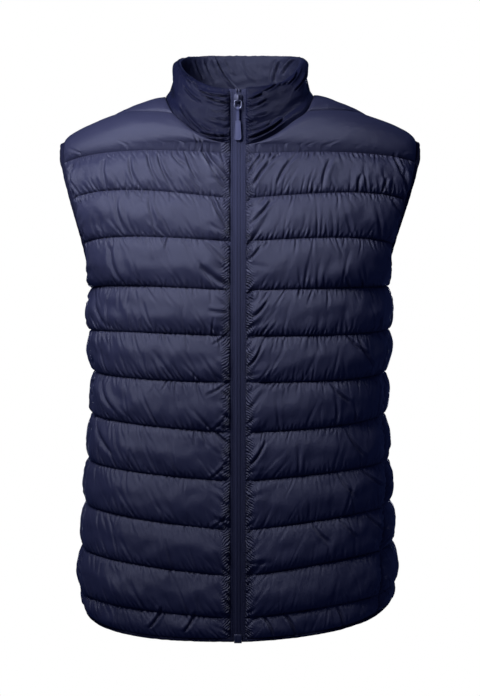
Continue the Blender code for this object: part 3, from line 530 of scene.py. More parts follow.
@dataclass
class Quilting:
    """Relief of a quilted panel over its stitch-level grid."""

    seed: int
    lump: float = 2.0            # uneven fill along a channel
    lean_near: float = 0.0       # how far the pulls lean, beside the row's start
    lean_far: float = 0.0        # and far from it
    noises: list[Noise] = field(init=False)
    draw: np.random.Generator = field(init=False)

    def __post_init__(self) -> None:
        """Draw the noises that the relief is made of."""
        self.noises = [Noise(self.seed * 10 + i) for i in range(4)]
        self.draw = np.random.default_rng(self.seed)

    def lean(self, at: float) -> float:
        """Mean slant of the pulls at a distance along the row."""
        return self.lean_far + (self.lean_near - self.lean_far) * math.exp(-at / 75.0)

    def seam_gathers(self, along: Array, off: Array, above: bool) -> Array:
        """Gathers and pulls that one stitch line sends into the cloth.

        Args:
            along: distance along the stitch line.
            off: distance from it.
            above: whether the cloth is above the line.

        Returns:
            Millimetres along the outward normal.
        """
        way = 1.0 if above else -1.0
        families = (PUCKERS, PULLS, LONG_PULLS) if above else (PUCKERS, PULLS)
        return sum(family.relief(self.draw, along, off, lambda at: way * self.lean(at)) for family in families)

    def lumps(self, along: Array, up: Array) -> Array:
        """Uneven fill of the channels, with faint streaks of stretched cloth."""
        streaks = self.noises[3].at((along - self.lean(40.0) * up) / 9.0, up / 60)
        return (self.lump * (self.noises[0].at(along / 46, up / 31) + 0.5 * self.noises[1].at(along / 19, up / 17))
                + 0.35 * streaks)

    def end_tufts(self, up: Array, off: Array, lean: float = 0.0) -> Array:
        """Folds that leave a panel's end edge, such as beside the zip."""
        made = sum(family.relief(self.draw, up.T, off.T, lambda at: lean) for family in (END_TUFTS, END_PULLS))
        return made.T


def channel_profile(share: Array) -> Array:
    """Share of a channel's loft at a share of its height; the fill settles low."""
    return np.clip(share, 0, 1) ** 0.60 * np.clip(1 - share, 0, 1) ** 0.72 / 0.4015


def edge_rise(distance: Array, reach: float = EDGE_RISE) -> Array:
    """Share of the loft at a distance from a panel's edge."""
    t = np.clip(distance / reach, 0, 1)
    return np.sqrt(1 - (1 - t) ** 2)


# ---- meshes -----------------------------------------------------------------
def new_piece(name: str, verts: Array, faces: Sequence[Sequence[int]], finish: "Finish",
              node: str | None = None, body: str = "root", smooth: float = 180.0) -> Piece:
    """Object of a mesh in millimetres, dressed and riding on a body.

    Args:
        name: the piece's name.
        verts: points in millimetres.
        faces: corners of each face.
        finish: what it is made of.
        node: the CAD node that it stands for, if any.
        body: the CAD body that it moves with.
        smooth: sharpest angle in degrees that is still shaded smooth.

    Returns:
        The new object.
    """
    mesh = bpy.data.meshes.new(name)
    mesh.from_pydata((np.asarray(verts) * MM).tolist(), [], [list(map(int, f)) for f in faces])
    work = bmesh.new()
    work.from_mesh(mesh)
    bmesh.ops.recalc_face_normals(work, faces=work.faces)
    work.to_mesh(mesh)
    work.free()
    mesh.shade_smooth()
    if smooth < 180:
        mesh.set_sharp_from_angle(angle=math.radians(smooth))
    piece = bpy.data.objects.new(name, mesh)
    mesh.materials.append(finish.material())
    bpy.context.scene.collection.objects.link(piece)
    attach(piece, body)
    if node is not None:
        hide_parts(node)
    LOG.info("%s: %d faces", name, len(faces))
    return piece


def sharpen(mesh: bpy.types.Mesh, first: Array, second: Array) -> None:
    """Mark the edges between pairs of points sharp."""
    count = len(mesh.vertices)
    ends = np.empty(2 * len(mesh.edges), int)
    mesh.edges.foreach_get("vertices", ends)
    ends = np.sort(ends.reshape(-1, 2), axis=1)
    wanted = np.minimum(first, second) * count + np.maximum(first, second)
    layer = mesh.attributes.get("sharp_edge") or mesh.attributes.new("sharp_edge", "BOOLEAN", "EDGE")
    layer.data.foreach_set("value", np.isin(ends[:, 0] * count + ends[:, 1], wanted))


def grid_faces(numbers: Array) -> list[tuple[int, ...]]:
    """Faces between the points of a grid of point numbers."""
    corners = (numbers[:-1, :-1], numbers[:-1, 1:], numbers[1:, 1:], numbers[1:, :-1])
    return list(zip(*(part.ravel().tolist() for part in corners)))


class Shell:
    """Collects the points and faces of a mesh that is made of grids and loops."""

    def __init__(self) -> None:
        """Start with nothing."""
        self.verts: list[Array] = []
        self.faces: list[tuple[int, ...]] = []
        self.count = 0

    def points(self, points: Array) -> Array:
        """Add points and return their numbers in the same arrangement."""
        flat = points.reshape(-1, 3)
        numbers = np.arange(self.count, self.count + len(flat)).reshape(points.shape[:-1])
        self.verts.append(flat)
        self.count += len(flat)
        return numbers

    def quads(self, numbers: Array) -> None:
        """Add the faces of a grid of point numbers."""
        self.faces.extend(grid_faces(numbers))

    def join_lines(self, fine: Array, coarse: Array, ratio: int) -> None:
        """Close the strip between a fine line and a coarse one beside it."""
        for k in range(len(coarse) - 1):
            run = fine[k * ratio:(k + 1) * ratio + 1]
            self.faces.append(tuple(int(v) for v in run) + (int(coarse[k + 1]), int(coarse[k])))

    def all_points(self) -> Array:
        """Every point, in order."""
        return np.concatenate(self.verts)


def closed_wall(outer: Array, inner: Array, ratio: int) -> Shell:
    """Closed wall of a fine outer grid and an inner grid with every nth point of it.

    Args:
        outer: grid of points.
        inner: grid of points, coarser by the ratio both ways.
        ratio: points of the outer grid for each of the inner one.

    Returns:
        The wall's points and faces.
    """
    shell = Shell()
    out, ins = shell.points(outer), shell.points(inner)
    shell.quads(out)
    shell.quads(ins)
    for edge in (np.s_[0], np.s_[-1], np.s_[:, 0], np.s_[:, -1]):
        shell.join_lines(out[edge], ins[edge], ratio)
    return shell


def tangents(path: Array, closed: bool) -> Array:
    """Unit vectors along a path."""
    if closed:
        return unit(np.roll(path, -1, axis=0) - np.roll(path, 1, axis=0))
    return unit(np.gradient(path, axis=0))


def sweep(path: Array, across: Array, up: Array, section: Outline, closed: bool) -> Shell:
    """Body of a section carried along a path.

    Args:
        path: points of the route.
        across: unit vectors for the section's first value.
        up: unit vectors for its second value.
        section: closed outline of the section.
        closed: whether the route returns to its start.

    Returns:
        The body's points and faces.
    """
    shape = np.asarray(section, float)
    grid = (path[:, None] + across[:, None] * shape[None, :, :1] + up[:, None] * shape[None, :, 1:])
    shell = Shell()
    numbers = shell.points(grid)
    numbers = np.concatenate([numbers, numbers[:, :1]], axis=1)
    if closed:
        numbers = np.concatenate([numbers, numbers[:1]])
    else:
        shell.faces.append(tuple(int(v) for v in numbers[0, :-1]))
        shell.faces.append(tuple(int(v) for v in numbers[-1, :-1]))
    shell.quads(numbers)
    return shell


# ---- shader trees -----------------------------------------------------------
Colour = tuple[float, float, float, float]
Socket = bpy.types.NodeSocket
Outputs = bpy.types.bpy_prop_collection
SEAM_SHADE: Colour = (0.003, 0.005, 0.028, 1)    # painted shade between the gathers at a seam
LINT: Colour = (0.42, 0.42, 0.46, 1)


class Wiring:
    """Adds nodes to a shader tree, each one set and linked in one call."""

    def __init__(self, tree: bpy.types.NodeTree) -> None:
        """Work on one tree."""
        self.tree = tree

    def feed(self, node: bpy.types.Node, inputs: dict[str | int, object]) -> None:
        """Link sockets to a node's inputs, or set the inputs' values."""
        for label, value in inputs.items():
            if isinstance(value, Socket):
                self.tree.links.new(value, node.inputs[label])
            else:
                node.inputs[label].default_value = value

    def node(self, kind: str, inputs: dict[str | int, object], **options: object) -> Outputs:
        """Add a node.

        Args:
            kind: its type, without the prefix ShaderNode.
            inputs: sockets to link and values to set, by name or number.
            options: settings of the node itself.

        Returns:
            Its outputs.
        """
        node = self.tree.nodes.new("ShaderNode" + kind)
        for option, value in options.items():
            setattr(node, option, value)
        self.feed(node, inputs)
        return node.outputs

    def math(self, operation: str, *values: Socket | float, clamp: bool = False) -> Socket:
        """Result of one Math node over sockets or numbers."""
        return self.node("Math", dict(enumerate(values)), operation=operation, use_clamp=clamp)[0]

    def spread(self, value: Socket, start: float, end: float, low: float = 0.0, high: float = 1.0) -> Socket:
        """Value spread from low at the start to high at the end."""
        return self.node("MapRange", {"Value": value, "From Min": start, "From Max": end,
                                      "To Min": low, "To Max": high})["Result"]

    def mix(self, factor: Socket, first: Socket, second: Socket | Colour, kind: str = "RGBA") -> Socket:
        """Blend from the first colour or value to the second."""
        return self.node("Mix", {"Factor": factor, "A": first, "B": second}, data_type=kind)["Result"]

    def bump(self, height: Socket, distance: float, under: Socket | None = None) -> Socket:
        """Normal of a relief, laid over another relief if there is one."""
        below = {} if under is None else {"Normal": under}
        return self.node("Bump", {"Height": height, "Distance": distance, **below})["Normal"]


class Effect(Wiring):
    """A shader node group with named sockets, which several finishes share."""

    def __init__(self, name: str, inputs: dict[str, float | Colour], outputs: Sequence[str]) -> None:
        """Start the group; sockets that name a colour are colours, the others numbers.

        Args:
            name: the group's name.
            inputs: default of each input.
            outputs: label of each output.
        """
        super().__init__(bpy.data.node_groups.new(name, "ShaderNodeTree"))
        for way, labels in (("INPUT", inputs), ("OUTPUT", outputs)):
            for label in labels:
                kind = "NodeSocketColor" if "colour" in label.lower() else "NodeSocketFloat"
                socket = self.tree.interface.new_socket(name=label, in_out=way, socket_type=kind)
                if way == "INPUT":
                    socket.default_value = inputs[label]
        self.given = self.tree.nodes.new("NodeGroupInput").outputs
        self.place = self.node("TexCoord", {})["Object"]

    def noise(self, scale: Socket | float, detail: float = 2.0, distortion: float = 0.0,
              place: Socket | None = None) -> Socket:
        """Soft noise between 0 and 1 in the piece's own space."""
        return self.node("TexNoise", {"Vector": self.place if place is None else place, "Scale": scale,
                                      "Detail": detail, "Distortion": distortion})["Fac"]

    def give(self, values: dict[str, Socket]) -> bpy.types.NodeTree:
        """Link the group's outputs and hand the group over."""
        self.feed(self.tree.nodes.new("NodeGroupOutput"), values)
        return self.tree


class Groups:
    """The effects of cloth, metal and rubber, each built once."""

    @staticmethod
    @cache
    def weave() -> bpy.types.NodeTree:
        """Fine plain weave of uneven threads, as a height."""
        work = Effect("weave", {"Threads per metre": 3000.0}, ["Height"])
        warp, weft = (work.node("TexWave", {"Vector": work.place, "Scale": work.given["Threads per metre"],
                                            "Distortion": 0.6, "Detail": 1.0}, bands_direction=axis)["Fac"]
                      for axis in ("X", "Z"))
        slubs = work.noise(scale=560.0, detail=1.0)
        return work.give({"Height": work.math("MULTIPLY_ADD", slubs, 3.2, work.math("ADD", warp, weft))})

    @staticmethod
    @cache
    def pinches() -> bpy.types.NodeTree:
        """Small gathers that the zip's seam pinches in the cloth beside it, with painted shade in the valleys between
        them.
        """
        work = Effect("pinches", {"Pitch": 0.0036, "Colour": (0.03, 0.03, 0.06, 1)}, ["Height", "Colour"])
        apart = work.node("SeparateXYZ", {0: work.place})
        away = work.math("ABSOLUTE", apart["X"])
        slanted = work.math("MULTIPLY_ADD", away, 0.7, apart["Z"])
        turns = work.math("MULTIPLY", work.math("DIVIDE", slanted, work.given["Pitch"]), 2 * math.pi)
        wander = work.noise(scale=95.0, detail=1.0)
        wave = work.math("SINE", work.math("MULTIPLY_ADD", wander, 14.0, turns))
        crest = work.math("MULTIPLY_ADD", wave, 0.5, 0.5)
        uneven = work.spread(work.noise(scale=48.0), 0.42, 0.60, low=1.0, high=0.0)
        front = work.math("MULTIPLY", work.math("LESS_THAN", apart["Y"], -0.02),
                          work.math("MULTIPLY_ADD", uneven, 0.65, 0.35))
        reach, seam = (work.math("MULTIPLY", work.spread(away, PANEL_EDGE * MM, end, low=1.0, high=0.0), front)
                       for end in (0.0205, 0.013))
        # painted shade: the valleys between the gathers near the seam are darkened towards SEAM_SHADE
        valley = work.math("MULTIPLY", work.math("SUBTRACT", 1.0, crest), seam)
        return work.give({"Height": work.math("MULTIPLY", crest, reach),
                          "Colour": work.mix(valley, work.given["Colour"], SEAM_SHADE)})

    @staticmethod
    @cache
    def crinkle() -> bpy.types.NodeTree:
        """Small soft creases of thin cloth over fill, as a height."""
        work = Effect("crinkle", {"Scale": 90.0, "Sharpness": 0.5}, ["Height"])
        stretched = work.node("Mapping", {"Vector": work.place, "Scale": (1.0, 1.0, 0.55)})["Vector"]
        soft = work.noise(scale=work.given["Scale"], detail=3.0, distortion=0.7, place=stretched)
        sharp = work.math("PINGPONG", soft, 0.12)
        return work.give({"Height": work.mix(work.given["Sharpness"], soft, sharp, kind="FLOAT")})

    @staticmethod
    @cache
    def tone() -> bpy.types.NodeTree:
        """Cloth colour and roughness: painted shade darker towards the hem, random tone, rubbed places and a trace of
        dust.
        """
        work = Effect("tone", {"Colour": (0.03, 0.03, 0.08, 1), "Painted hem shade colour": (0.02, 0.02, 0.05, 1),
                               "Roughness": 0.4, "Dust": 0.02}, ["Colour", "Roughness"])
        given = work.given
        height = work.spread(work.node("SeparateXYZ", {0: work.place})["Z"], -0.66, -0.10)
        patches = work.math("MULTIPLY_ADD", work.noise(scale=11.0, detail=4.0), 0.5, -0.25)
        # painted shade: the colour darkens from the top towards the hem colour, with random tone patches over it
        painted_shade_and_dye = work.mix(work.math("ADD", height, patches, clamp=True), given["Painted hem shade colour"], given["Colour"])
        specks = work.spread(work.noise(scale=420.0), 0.62, 0.80)
        return work.give({"Colour": work.mix(work.math("MULTIPLY", specks, given["Dust"]), painted_shade_and_dye, LINT),
                          "Roughness": work.math("MULTIPLY_ADD", patches, 0.16, given["Roughness"])})

    @staticmethod
    @cache
    def handling() -> bpy.types.NodeTree:
        """Worn edges and handling marks of metal and rubber."""
        work = Effect("handling", {"Colour": (0.05, 0.05, 0.06, 1), "Worn colour": (0.2, 0.2, 0.2, 1),
                                   "Roughness": 0.4, "Amount": 0.5}, ["Colour", "Roughness", "Height"])
        given = work.given
        edge = work.spread(work.node("NewGeometry", {})["Pointiness"], 0.50, 0.62)
        marks = work.noise(scale=900.0, detail=5.0)
        worn = work.math("MULTIPLY", work.math("MULTIPLY", edge, marks, clamp=True), given["Amount"], clamp=True)
        return work.give({"Colour": work.mix(worn, given["Colour"], given["Worn colour"]),
                          "Roughness": work.math("MULTIPLY_ADD", marks, 0.18, given["Roughness"]),
                          "Height": marks})


# ---- finishes ---------------------------------------------------------------

@dataclass(frozen=True)
class Finish:
    """What a piece is made of; each kind builds its material once."""

    name: str
    slot: str

    def material(self) -> bpy.types.Material:
        """The finish's material, made when it is first asked for."""
        made = bpy.data.materials.get(self.name)
        if made is None:
            made = bpy.data.materials.new(self.name)
            made.use_nodes = True
            self.dress(Wiring(made.node_tree), made.node_tree.nodes["Principled BSDF"])
        return made

    def dress(self, work: Wiring, shader: bpy.types.Node) -> None:
        """Set the shader; each kind has its own."""
        raise NotImplementedError


@dataclass(frozen=True)
class ClothFinish(Finish):
    """Woven cloth: painted shade darker towards the hem, random tone, fine weave and small creases."""

    colour: Colour = (0.033, 0.034, 0.062, 1)
    painted_hem_shade: Colour = (0.022, 0.023, 0.047, 1)    # painted shade, darker at the hem
    roughness: float = 0.46
    specular: float = 0.57
    dust: float = 0.015
    threads: float = 2600.0
    weave_depth: float = 0.00005
    crinkle_scale: float = 105.0
    crinkle_depth: float = 0.0005
    sharpness: float = 0.35
    pinch_pitch: float = 0.0036
    pinch_depth: float = 0.0

    def dress(self, work: Wiring, shader: bpy.types.Node) -> None:
        """Give the cloth its colour, roughness and relief.

        Args:
            work: wiring of the material's tree.
            shader: the material's shader.
        """
        tone = work.node("Group", {"Colour": self.colour, "Painted hem shade colour": self.painted_hem_shade,
                                   "Roughness": self.roughness, "Dust": self.dust}, node_tree=Groups.tone())
        weave = work.node("Group", {"Threads per metre": self.threads}, node_tree=Groups.weave())
        crinkle = work.node("Group", {"Scale": self.crinkle_scale, "Sharpness": self.sharpness},
                            node_tree=Groups.crinkle())
        colour, normal = tone["Colour"], None
        if self.pinch_depth:
            # the pinches also paint shade into the colour in their valleys
            pinches = work.node("Group", {"Pitch": self.pinch_pitch, "Colour": colour}, node_tree=Groups.pinches())
            colour, normal = pinches["Colour"], work.bump(pinches["Height"], self.pinch_depth)
        normal = work.bump(crinkle["Height"], self.crinkle_depth, normal)
        normal = work.bump(weave["Height"], self.weave_depth, normal)
        work.feed(shader, {"Base Color": colour, "Roughness": tone["Roughness"], "Normal": normal,
                           "Specular IOR Level": self.specular})


@dataclass(frozen=True)
class HardFinish(Finish):
    """Painted metal or moulded rubber with handling marks."""

    colour: Colour
    worn: Colour
    roughness: float
    metallic: float = 0.0
    amount: float = 0.6
    relief: float = 0.00002

    def dress(self, work: Wiring, shader: bpy.types.Node) -> None:
        """Colour, roughness and relief of the hard piece."""
        marks = work.node("Group", {"Colour": self.colour, "Worn colour": self.worn, "Roughness": self.roughness,
                                    "Amount": self.amount}, node_tree=Groups.handling())
        work.feed(shader, {"Base Color": marks["Colour"], "Roughness": marks["Roughness"],
                           "Normal": work.bump(marks["Height"], self.relief), "Metallic": self.metallic})


SHELL_NYLON = ClothFinish("vest_shell_nylon", "shell_nylon", pinch_depth=0.0031)
# darker copy of the shell nylon for the collar: its darker colour is painted shade
COLLAR_NYLON = ClothFinish("vest_collar_nylon", "shell_nylon", colour=(0.010, 0.011, 0.027, 1),
                           painted_hem_shade=(0.010, 0.011, 0.027, 1), roughness=0.31, specular=0.17,
                           pinch_depth=0.0012)
LINING_NYLON = ClothFinish("vest_lining_nylon", "lining_nylon", colour=(0.022, 0.024, 0.048, 1),
                           painted_hem_shade=(0.020, 0.022, 0.045, 1), specular=0.38, roughness=0.40)
BINDING_KNIT = ClothFinish("vest_binding_knit", "binding_knit", colour=(0.012, 0.013, 0.034, 1),
                           painted_hem_shade=(0.010, 0.011, 0.030, 1), roughness=0.68, specular=0.2,
                           threads=1300.0, weave_depth=0.00012, crinkle_depth=0.0002)
# the tape's much darker hem colour is painted shade
TAPE_WEAVE = ClothFinish("vest_zip_tape", "zip_tape", colour=(0.041, 0.044, 0.084, 1),
                         painted_hem_shade=(0.012, 0.014, 0.040, 1), roughness=0.65, specular=0.4,
                         threads=1500.0, weave_depth=0.00014, crinkle_depth=0.0001)
THREAD = ClothFinish("vest_sewing_thread", "shell_nylon", colour=(0.008, 0.009, 0.022, 1),
                     painted_hem_shade=(0.006, 0.007, 0.018, 1), roughness=0.7, specular=0.12, threads=6000.0,
                     weave_depth=0.00003, crinkle_depth=0.0)
COIL_NYLON = HardFinish("vest_zip_coil", "zip_tape", colour=(0.012, 0.013, 0.028, 1), worn=(0.03, 0.03, 0.05, 1),
                        roughness=0.4, amount=0.3)
ZIP_METAL = HardFinish("vest_zip_metal", "zip_metal", colour=(0.055, 0.057, 0.080, 1), worn=(0.30, 0.30, 0.34, 1),
                       metallic=0.9, roughness=0.36)
PULL_WIRE = HardFinish("vest_pull_wire", "zip_metal", colour=(0.22, 0.225, 0.28, 1), worn=(0.40, 0.40, 0.45, 1),
                       metallic=0.9, roughness=0.28)
PULL_RUBBER = HardFinish("vest_pull_rubber", "pull_rubber", colour=(0.085, 0.09, 0.15, 1),
                         worn=(0.15, 0.15, 0.21, 1), roughness=0.30, amount=0.35, relief=0.00004)


# ---- quilted panels ---------------------------------------------------------
def even_shares(point_row: Callable[[Array], Array], count: int) -> Array:
    """Shares from 0 to 1 that step evenly along a curve.

    Args:
        point_row: points of the curve at shares.
        count: how many steps.

    Returns:
        count + 1 shares.
    """
    dense = np.linspace(0, 1, 1201)
    run = run_length(point_row(dense)[None])[0]
    return np.interp(np.linspace(0, run[-1], count + 1), run, dense)


def channel_steps(rows: int) -> Array:
    """Shares of a channel's height, closer together at its stitch lines."""
    even = np.linspace(0, 1, rows + 1)
    return 0.6 * even + 0.4 * (0.5 - 0.5 * np.cos(math.pi * even))


@dataclass
class QuiltedPanel:
    """A sewn panel of quilted channels, as a closed wall."""

    name: str
    columns: int
    rows: int = 28               # rows of each channel
    ratio: int = 4               # fine points for each point of the plain inside
    fill: float = 0.35
    calm_low: float = 0.7        # share of the gathers left at the hem
    finish: Finish = SHELL_NYLON

    @staticmethod
    def let_out(grid: Array) -> Array:
        """Let the edges out a little, so that sewn pieces meet."""
        grid = grid.copy()
        for edge, beside in ((0, 1), (-1, -2)):
            grid[edge] -= unit(grid[beside] - grid[edge]) * SEAM_LAP
        for edge, beside in ((0, 1), (-1, -2)):
            grid[:, edge] -= unit(grid[:, beside] - grid[:, edge]) * SEAM_LAP
        return grid

    def body_steps(self) -> Array:
        """Stitch lines counted up from the hem, for each row below the topmost line."""
        shares = channel_steps(self.rows)[:-1]
        return np.concatenate([line + shares for line in range(CHEST_RING)])

    def rows_up(self, top: Array) -> tuple[Array, Array, Array]:
        """Channel, share of its channel's height and full loft of each row.

        Args:
            top: shares of the rows from the topmost stitch line up.

        Returns:
            Three values for each row.
        """
        channels = np.concatenate([np.repeat(np.arange(CHEST_RING), self.rows), np.full(len(top), CHEST_RING)])
        shares = np.concatenate([np.tile(channel_steps(self.rows)[:-1], CHEST_RING), top])
        return channels, shares, np.select([channels == 0, channels == CHEST_RING], [HEM_PUFF, CAP_PUFF], PUFF)

    def channel_relief(self, grid: Array, shares: Array, channels: Array, lofts: Array,
                       quilting: Quilting) -> Array:
        """Relief of channels, gathers and lumps over a stitch-level grid.

        Args:
            grid: points, rows up the panel.
            shares: each row's share of its channel's height.
            channels: each row's channel, counted from the hem.
            lofts: each row's full loft.
            quilting: the gathers.

        Returns:
            Millimetres along the outward normal.
        """
        along = run_length(grid)
        up = run_length(grid, axis=0)
        profile = channel_profile(shares)[:, None]
        swell = 1 + 0.16 * quilting.noises[2].at(along / 90, channels[:, None] * 3.7)
        cap = (channels == CHEST_RING)[:, None]
        relief = lofts[:, None] * profile * swell + quilting.lumps(along, up) * profile * np.where(cap, 0.25, 1.0)
        for channel in np.unique(channels):
            own = np.flatnonzero(channels == channel)
            first, end = own[0], min(own[-1] + 1, len(channels) - 1)
            if end == first:
                continue
            rows = slice(first, end)
            seam, risen = along[rows], up[rows] - up[first]
            if channel == CHEST_RING:
                made = 1.1 * (PUCKERS.relief(quilting.draw, seam, risen, lambda at: 0.2)
                              + END_TUFTS.relief(quilting.draw, seam, risen, lambda at: 0.4))
            else:
                calm = self.calm_low + (1 - self.calm_low) * min(channel / 7.0, 1.0)
                made = calm * (quilting.seam_gathers(seam, risen, above=True)
                               + quilting.seam_gathers(seam, up[end] - up[rows], above=False))
            relief[rows] += made * np.clip((up[end] - up[first] - 6.0) / 20.0, 0, 1)
        return relief

    def wall(self, grid: Array, normals: Array, relief: Array) -> Piece:
        """Closed wall of the panel, with relief on its outer side.

        Args:
            grid: points at stitch level.
            normals: outward normals there.
            relief: millimetres along them.

        Returns:
            The panel.
        """
        relief = relief.copy()
        relief[0] = relief[-1] = 0
        relief[:, 0] = relief[:, -1] = 0
        outer = grid + normals * relief[..., None]
        inner = (grid - normals * WALL)[::self.ratio, ::self.ratio]
        shell = closed_wall(outer, inner, self.ratio)
        piece = new_piece(self.name, shell.all_points(), shell.faces, self.finish, self.name.removesuffix("_cloth"))
        wide = outer.shape[1]
        along_lines = (np.arange(1, CHEST_RING + 1) * self.rows)[:, None] * wide + np.arange(wide - 1)
        along_lines = along_lines[along_lines < wide * (len(outer) - 1)]
        sharpen(piece.data, along_lines, along_lines + 1)
        return piece


@dataclass
class FrontPanel(QuiltedPanel):
    """One quilted front, from the hem over the chest to the shoulder seam."""

    side: Side = Side.RIGHT
    cap_rows: int = 32
    leans: tuple[float, float] = (0.0, 0.0)
    creases: Sequence[Crease] = ()
    crease_depth: float = 1.4    # times each fold's own depth
    grid: Array = field(init=False)
    normals: Array = field(init=False)

    def cap_shares(self, u: Array, w: Array) -> Array:
        """Lay out the top channel on the shoulder cap.

        Args:
            u: shares from the zip to the armhole.
            w: shares from the topmost stitch line to the seam.

        Returns:
            Grid of |x| and turn.
        """
        neck, seam = NECK_SEAM[self.side], SHOULDER_SEAM[self.side]
        foot_x = np.abs(SURFACE.front(self.side, u, np.full_like(u, CHEST_RING))[:, 0])
        wide, tip = foot_x[-1], seam[-1]

        def inner_side(w: Array) -> Array:
            """The panel's side at the zip and then along the neck seam."""
            low = pairs(np.full_like(w, PANEL_EDGE), 90 + (neck[0][1] - 90) * w / ZIP_SHARE)
            high = cap_line(neck, np.clip((w - ZIP_SHARE) / (1 - ZIP_SHARE), 0, 1) * NECK_CORNER)
            return np.where((w <= ZIP_SHARE)[:, None], low, high)

        return patch(
            bottom=lambda t: pairs(np.interp(t, u, foot_x), np.full_like(t, 90.0)),
            top=lambda t: cap_line(seam, t * (len(seam) - 1)),
            start=inner_side,
            end=lambda t: pairs(wide + (tip[0] - wide) * t, 90 + (tip[1] - 90) * t),
            u=u, w=w)

    def build(self) -> Piece:
        """Make the panel.

        Returns:
            The panel.
        """
        u = even_shares(lambda t: SURFACE.front(self.side, t, np.full_like(t, WAIST_RING)), self.columns)
        body = SURFACE.front(self.side, u[None, :], self.body_steps()[:, None])
        w = np.concatenate([[0, ZIP_SHARE / 2, ZIP_SHARE],
                            ZIP_SHARE + (1 - ZIP_SHARE) * channel_steps(self.cap_rows - 2)[1:]])
        places = self.cap_shares(u, w)
        grid = np.concatenate([body, SURFACE.cap(self.side, places)])
        spare = (len(grid) - 1) % self.ratio
        if spare:                # drop rows high in the cap so that the inside's rows fit
            keep = np.ones(len(grid), bool)
            keep[[len(grid) - 4 - 3 * i for i in range(spare)]] = False
            grid, places, w = grid[keep], places[keep[len(body):]], w[keep[len(body):]]
        normals = np.concatenate([grid_normals(body), SURFACE.cap_normals(self.side, places)])
        grid = self.let_out(grid)
        channels, share, lofts = self.rows_up(w)
        quilting = Quilting(seed=3 if self.side is Side.RIGHT else 4, lean_near=self.leans[0], lean_far=self.leans[1])
        relief = self.channel_relief(grid, share, channels, lofts, quilting)
        along = run_length(grid)
        from_zip, from_edge = along, along[:, -1:] - along
        up = run_length(grid, axis=0)
        rise = edge_rise(np.minimum(from_zip, from_edge))
        tufts = quilting.end_tufts(up, from_zip, 0.5) + quilting.end_tufts(up, from_edge)
        relief = relief * rise + tufts * np.where(channels == CHEST_RING, 0.25, 1.0)[:, None]
        px, py = frame_pixels(grid)
        relief = relief + self.crease_depth * crease_relief(px, py, self.creases) * np.minimum(rise * 1.2, 1)
        self.grid, self.normals = grid, normals
        return self.wall(grid, normals, np.maximum(relief, SINK))


@dataclass
class BackPanel(QuiltedPanel):
    """The quilted back, round both sides to the seams, up to the yoke."""

    grid: Array = field(init=False)
    normals: Array = field(init=False)

    def build(self) -> Piece:
        """Make the panel.

        Returns:
            The panel.
        """
        half = self.columns // 2
        t = even_shares(lambda s: SURFACE.back(Side.RIGHT, s, np.full_like(s, WAIST_RING)), half)
        steps = np.append(self.body_steps(), CHEST_RING)
        right = SURFACE.back(Side.RIGHT, t[None, ::-1], steps[:, None])
        left = SURFACE.back(Side.LEFT, t[None, 1:], steps[:, None])
        grid = np.concatenate([right, left], axis=1)
        normals = grid_normals(grid)
        grid = self.let_out(grid)
        channels, share, lofts = self.rows_up(np.zeros(1))
        quilting = Quilting(seed=7)
        relief = self.channel_relief(grid, share, channels, lofts, quilting)
        near = run_length(grid)
        far = near[:, -1:] - near
        up = run_length(grid, axis=0)
        relief = relief * edge_rise(np.minimum(near, far)) + quilting.end_tufts(up, near)
        relief = relief + quilting.end_tufts(up, far)
        self.grid, self.normals = grid, normals
        return self.wall(grid, normals, np.maximum(relief, SINK))


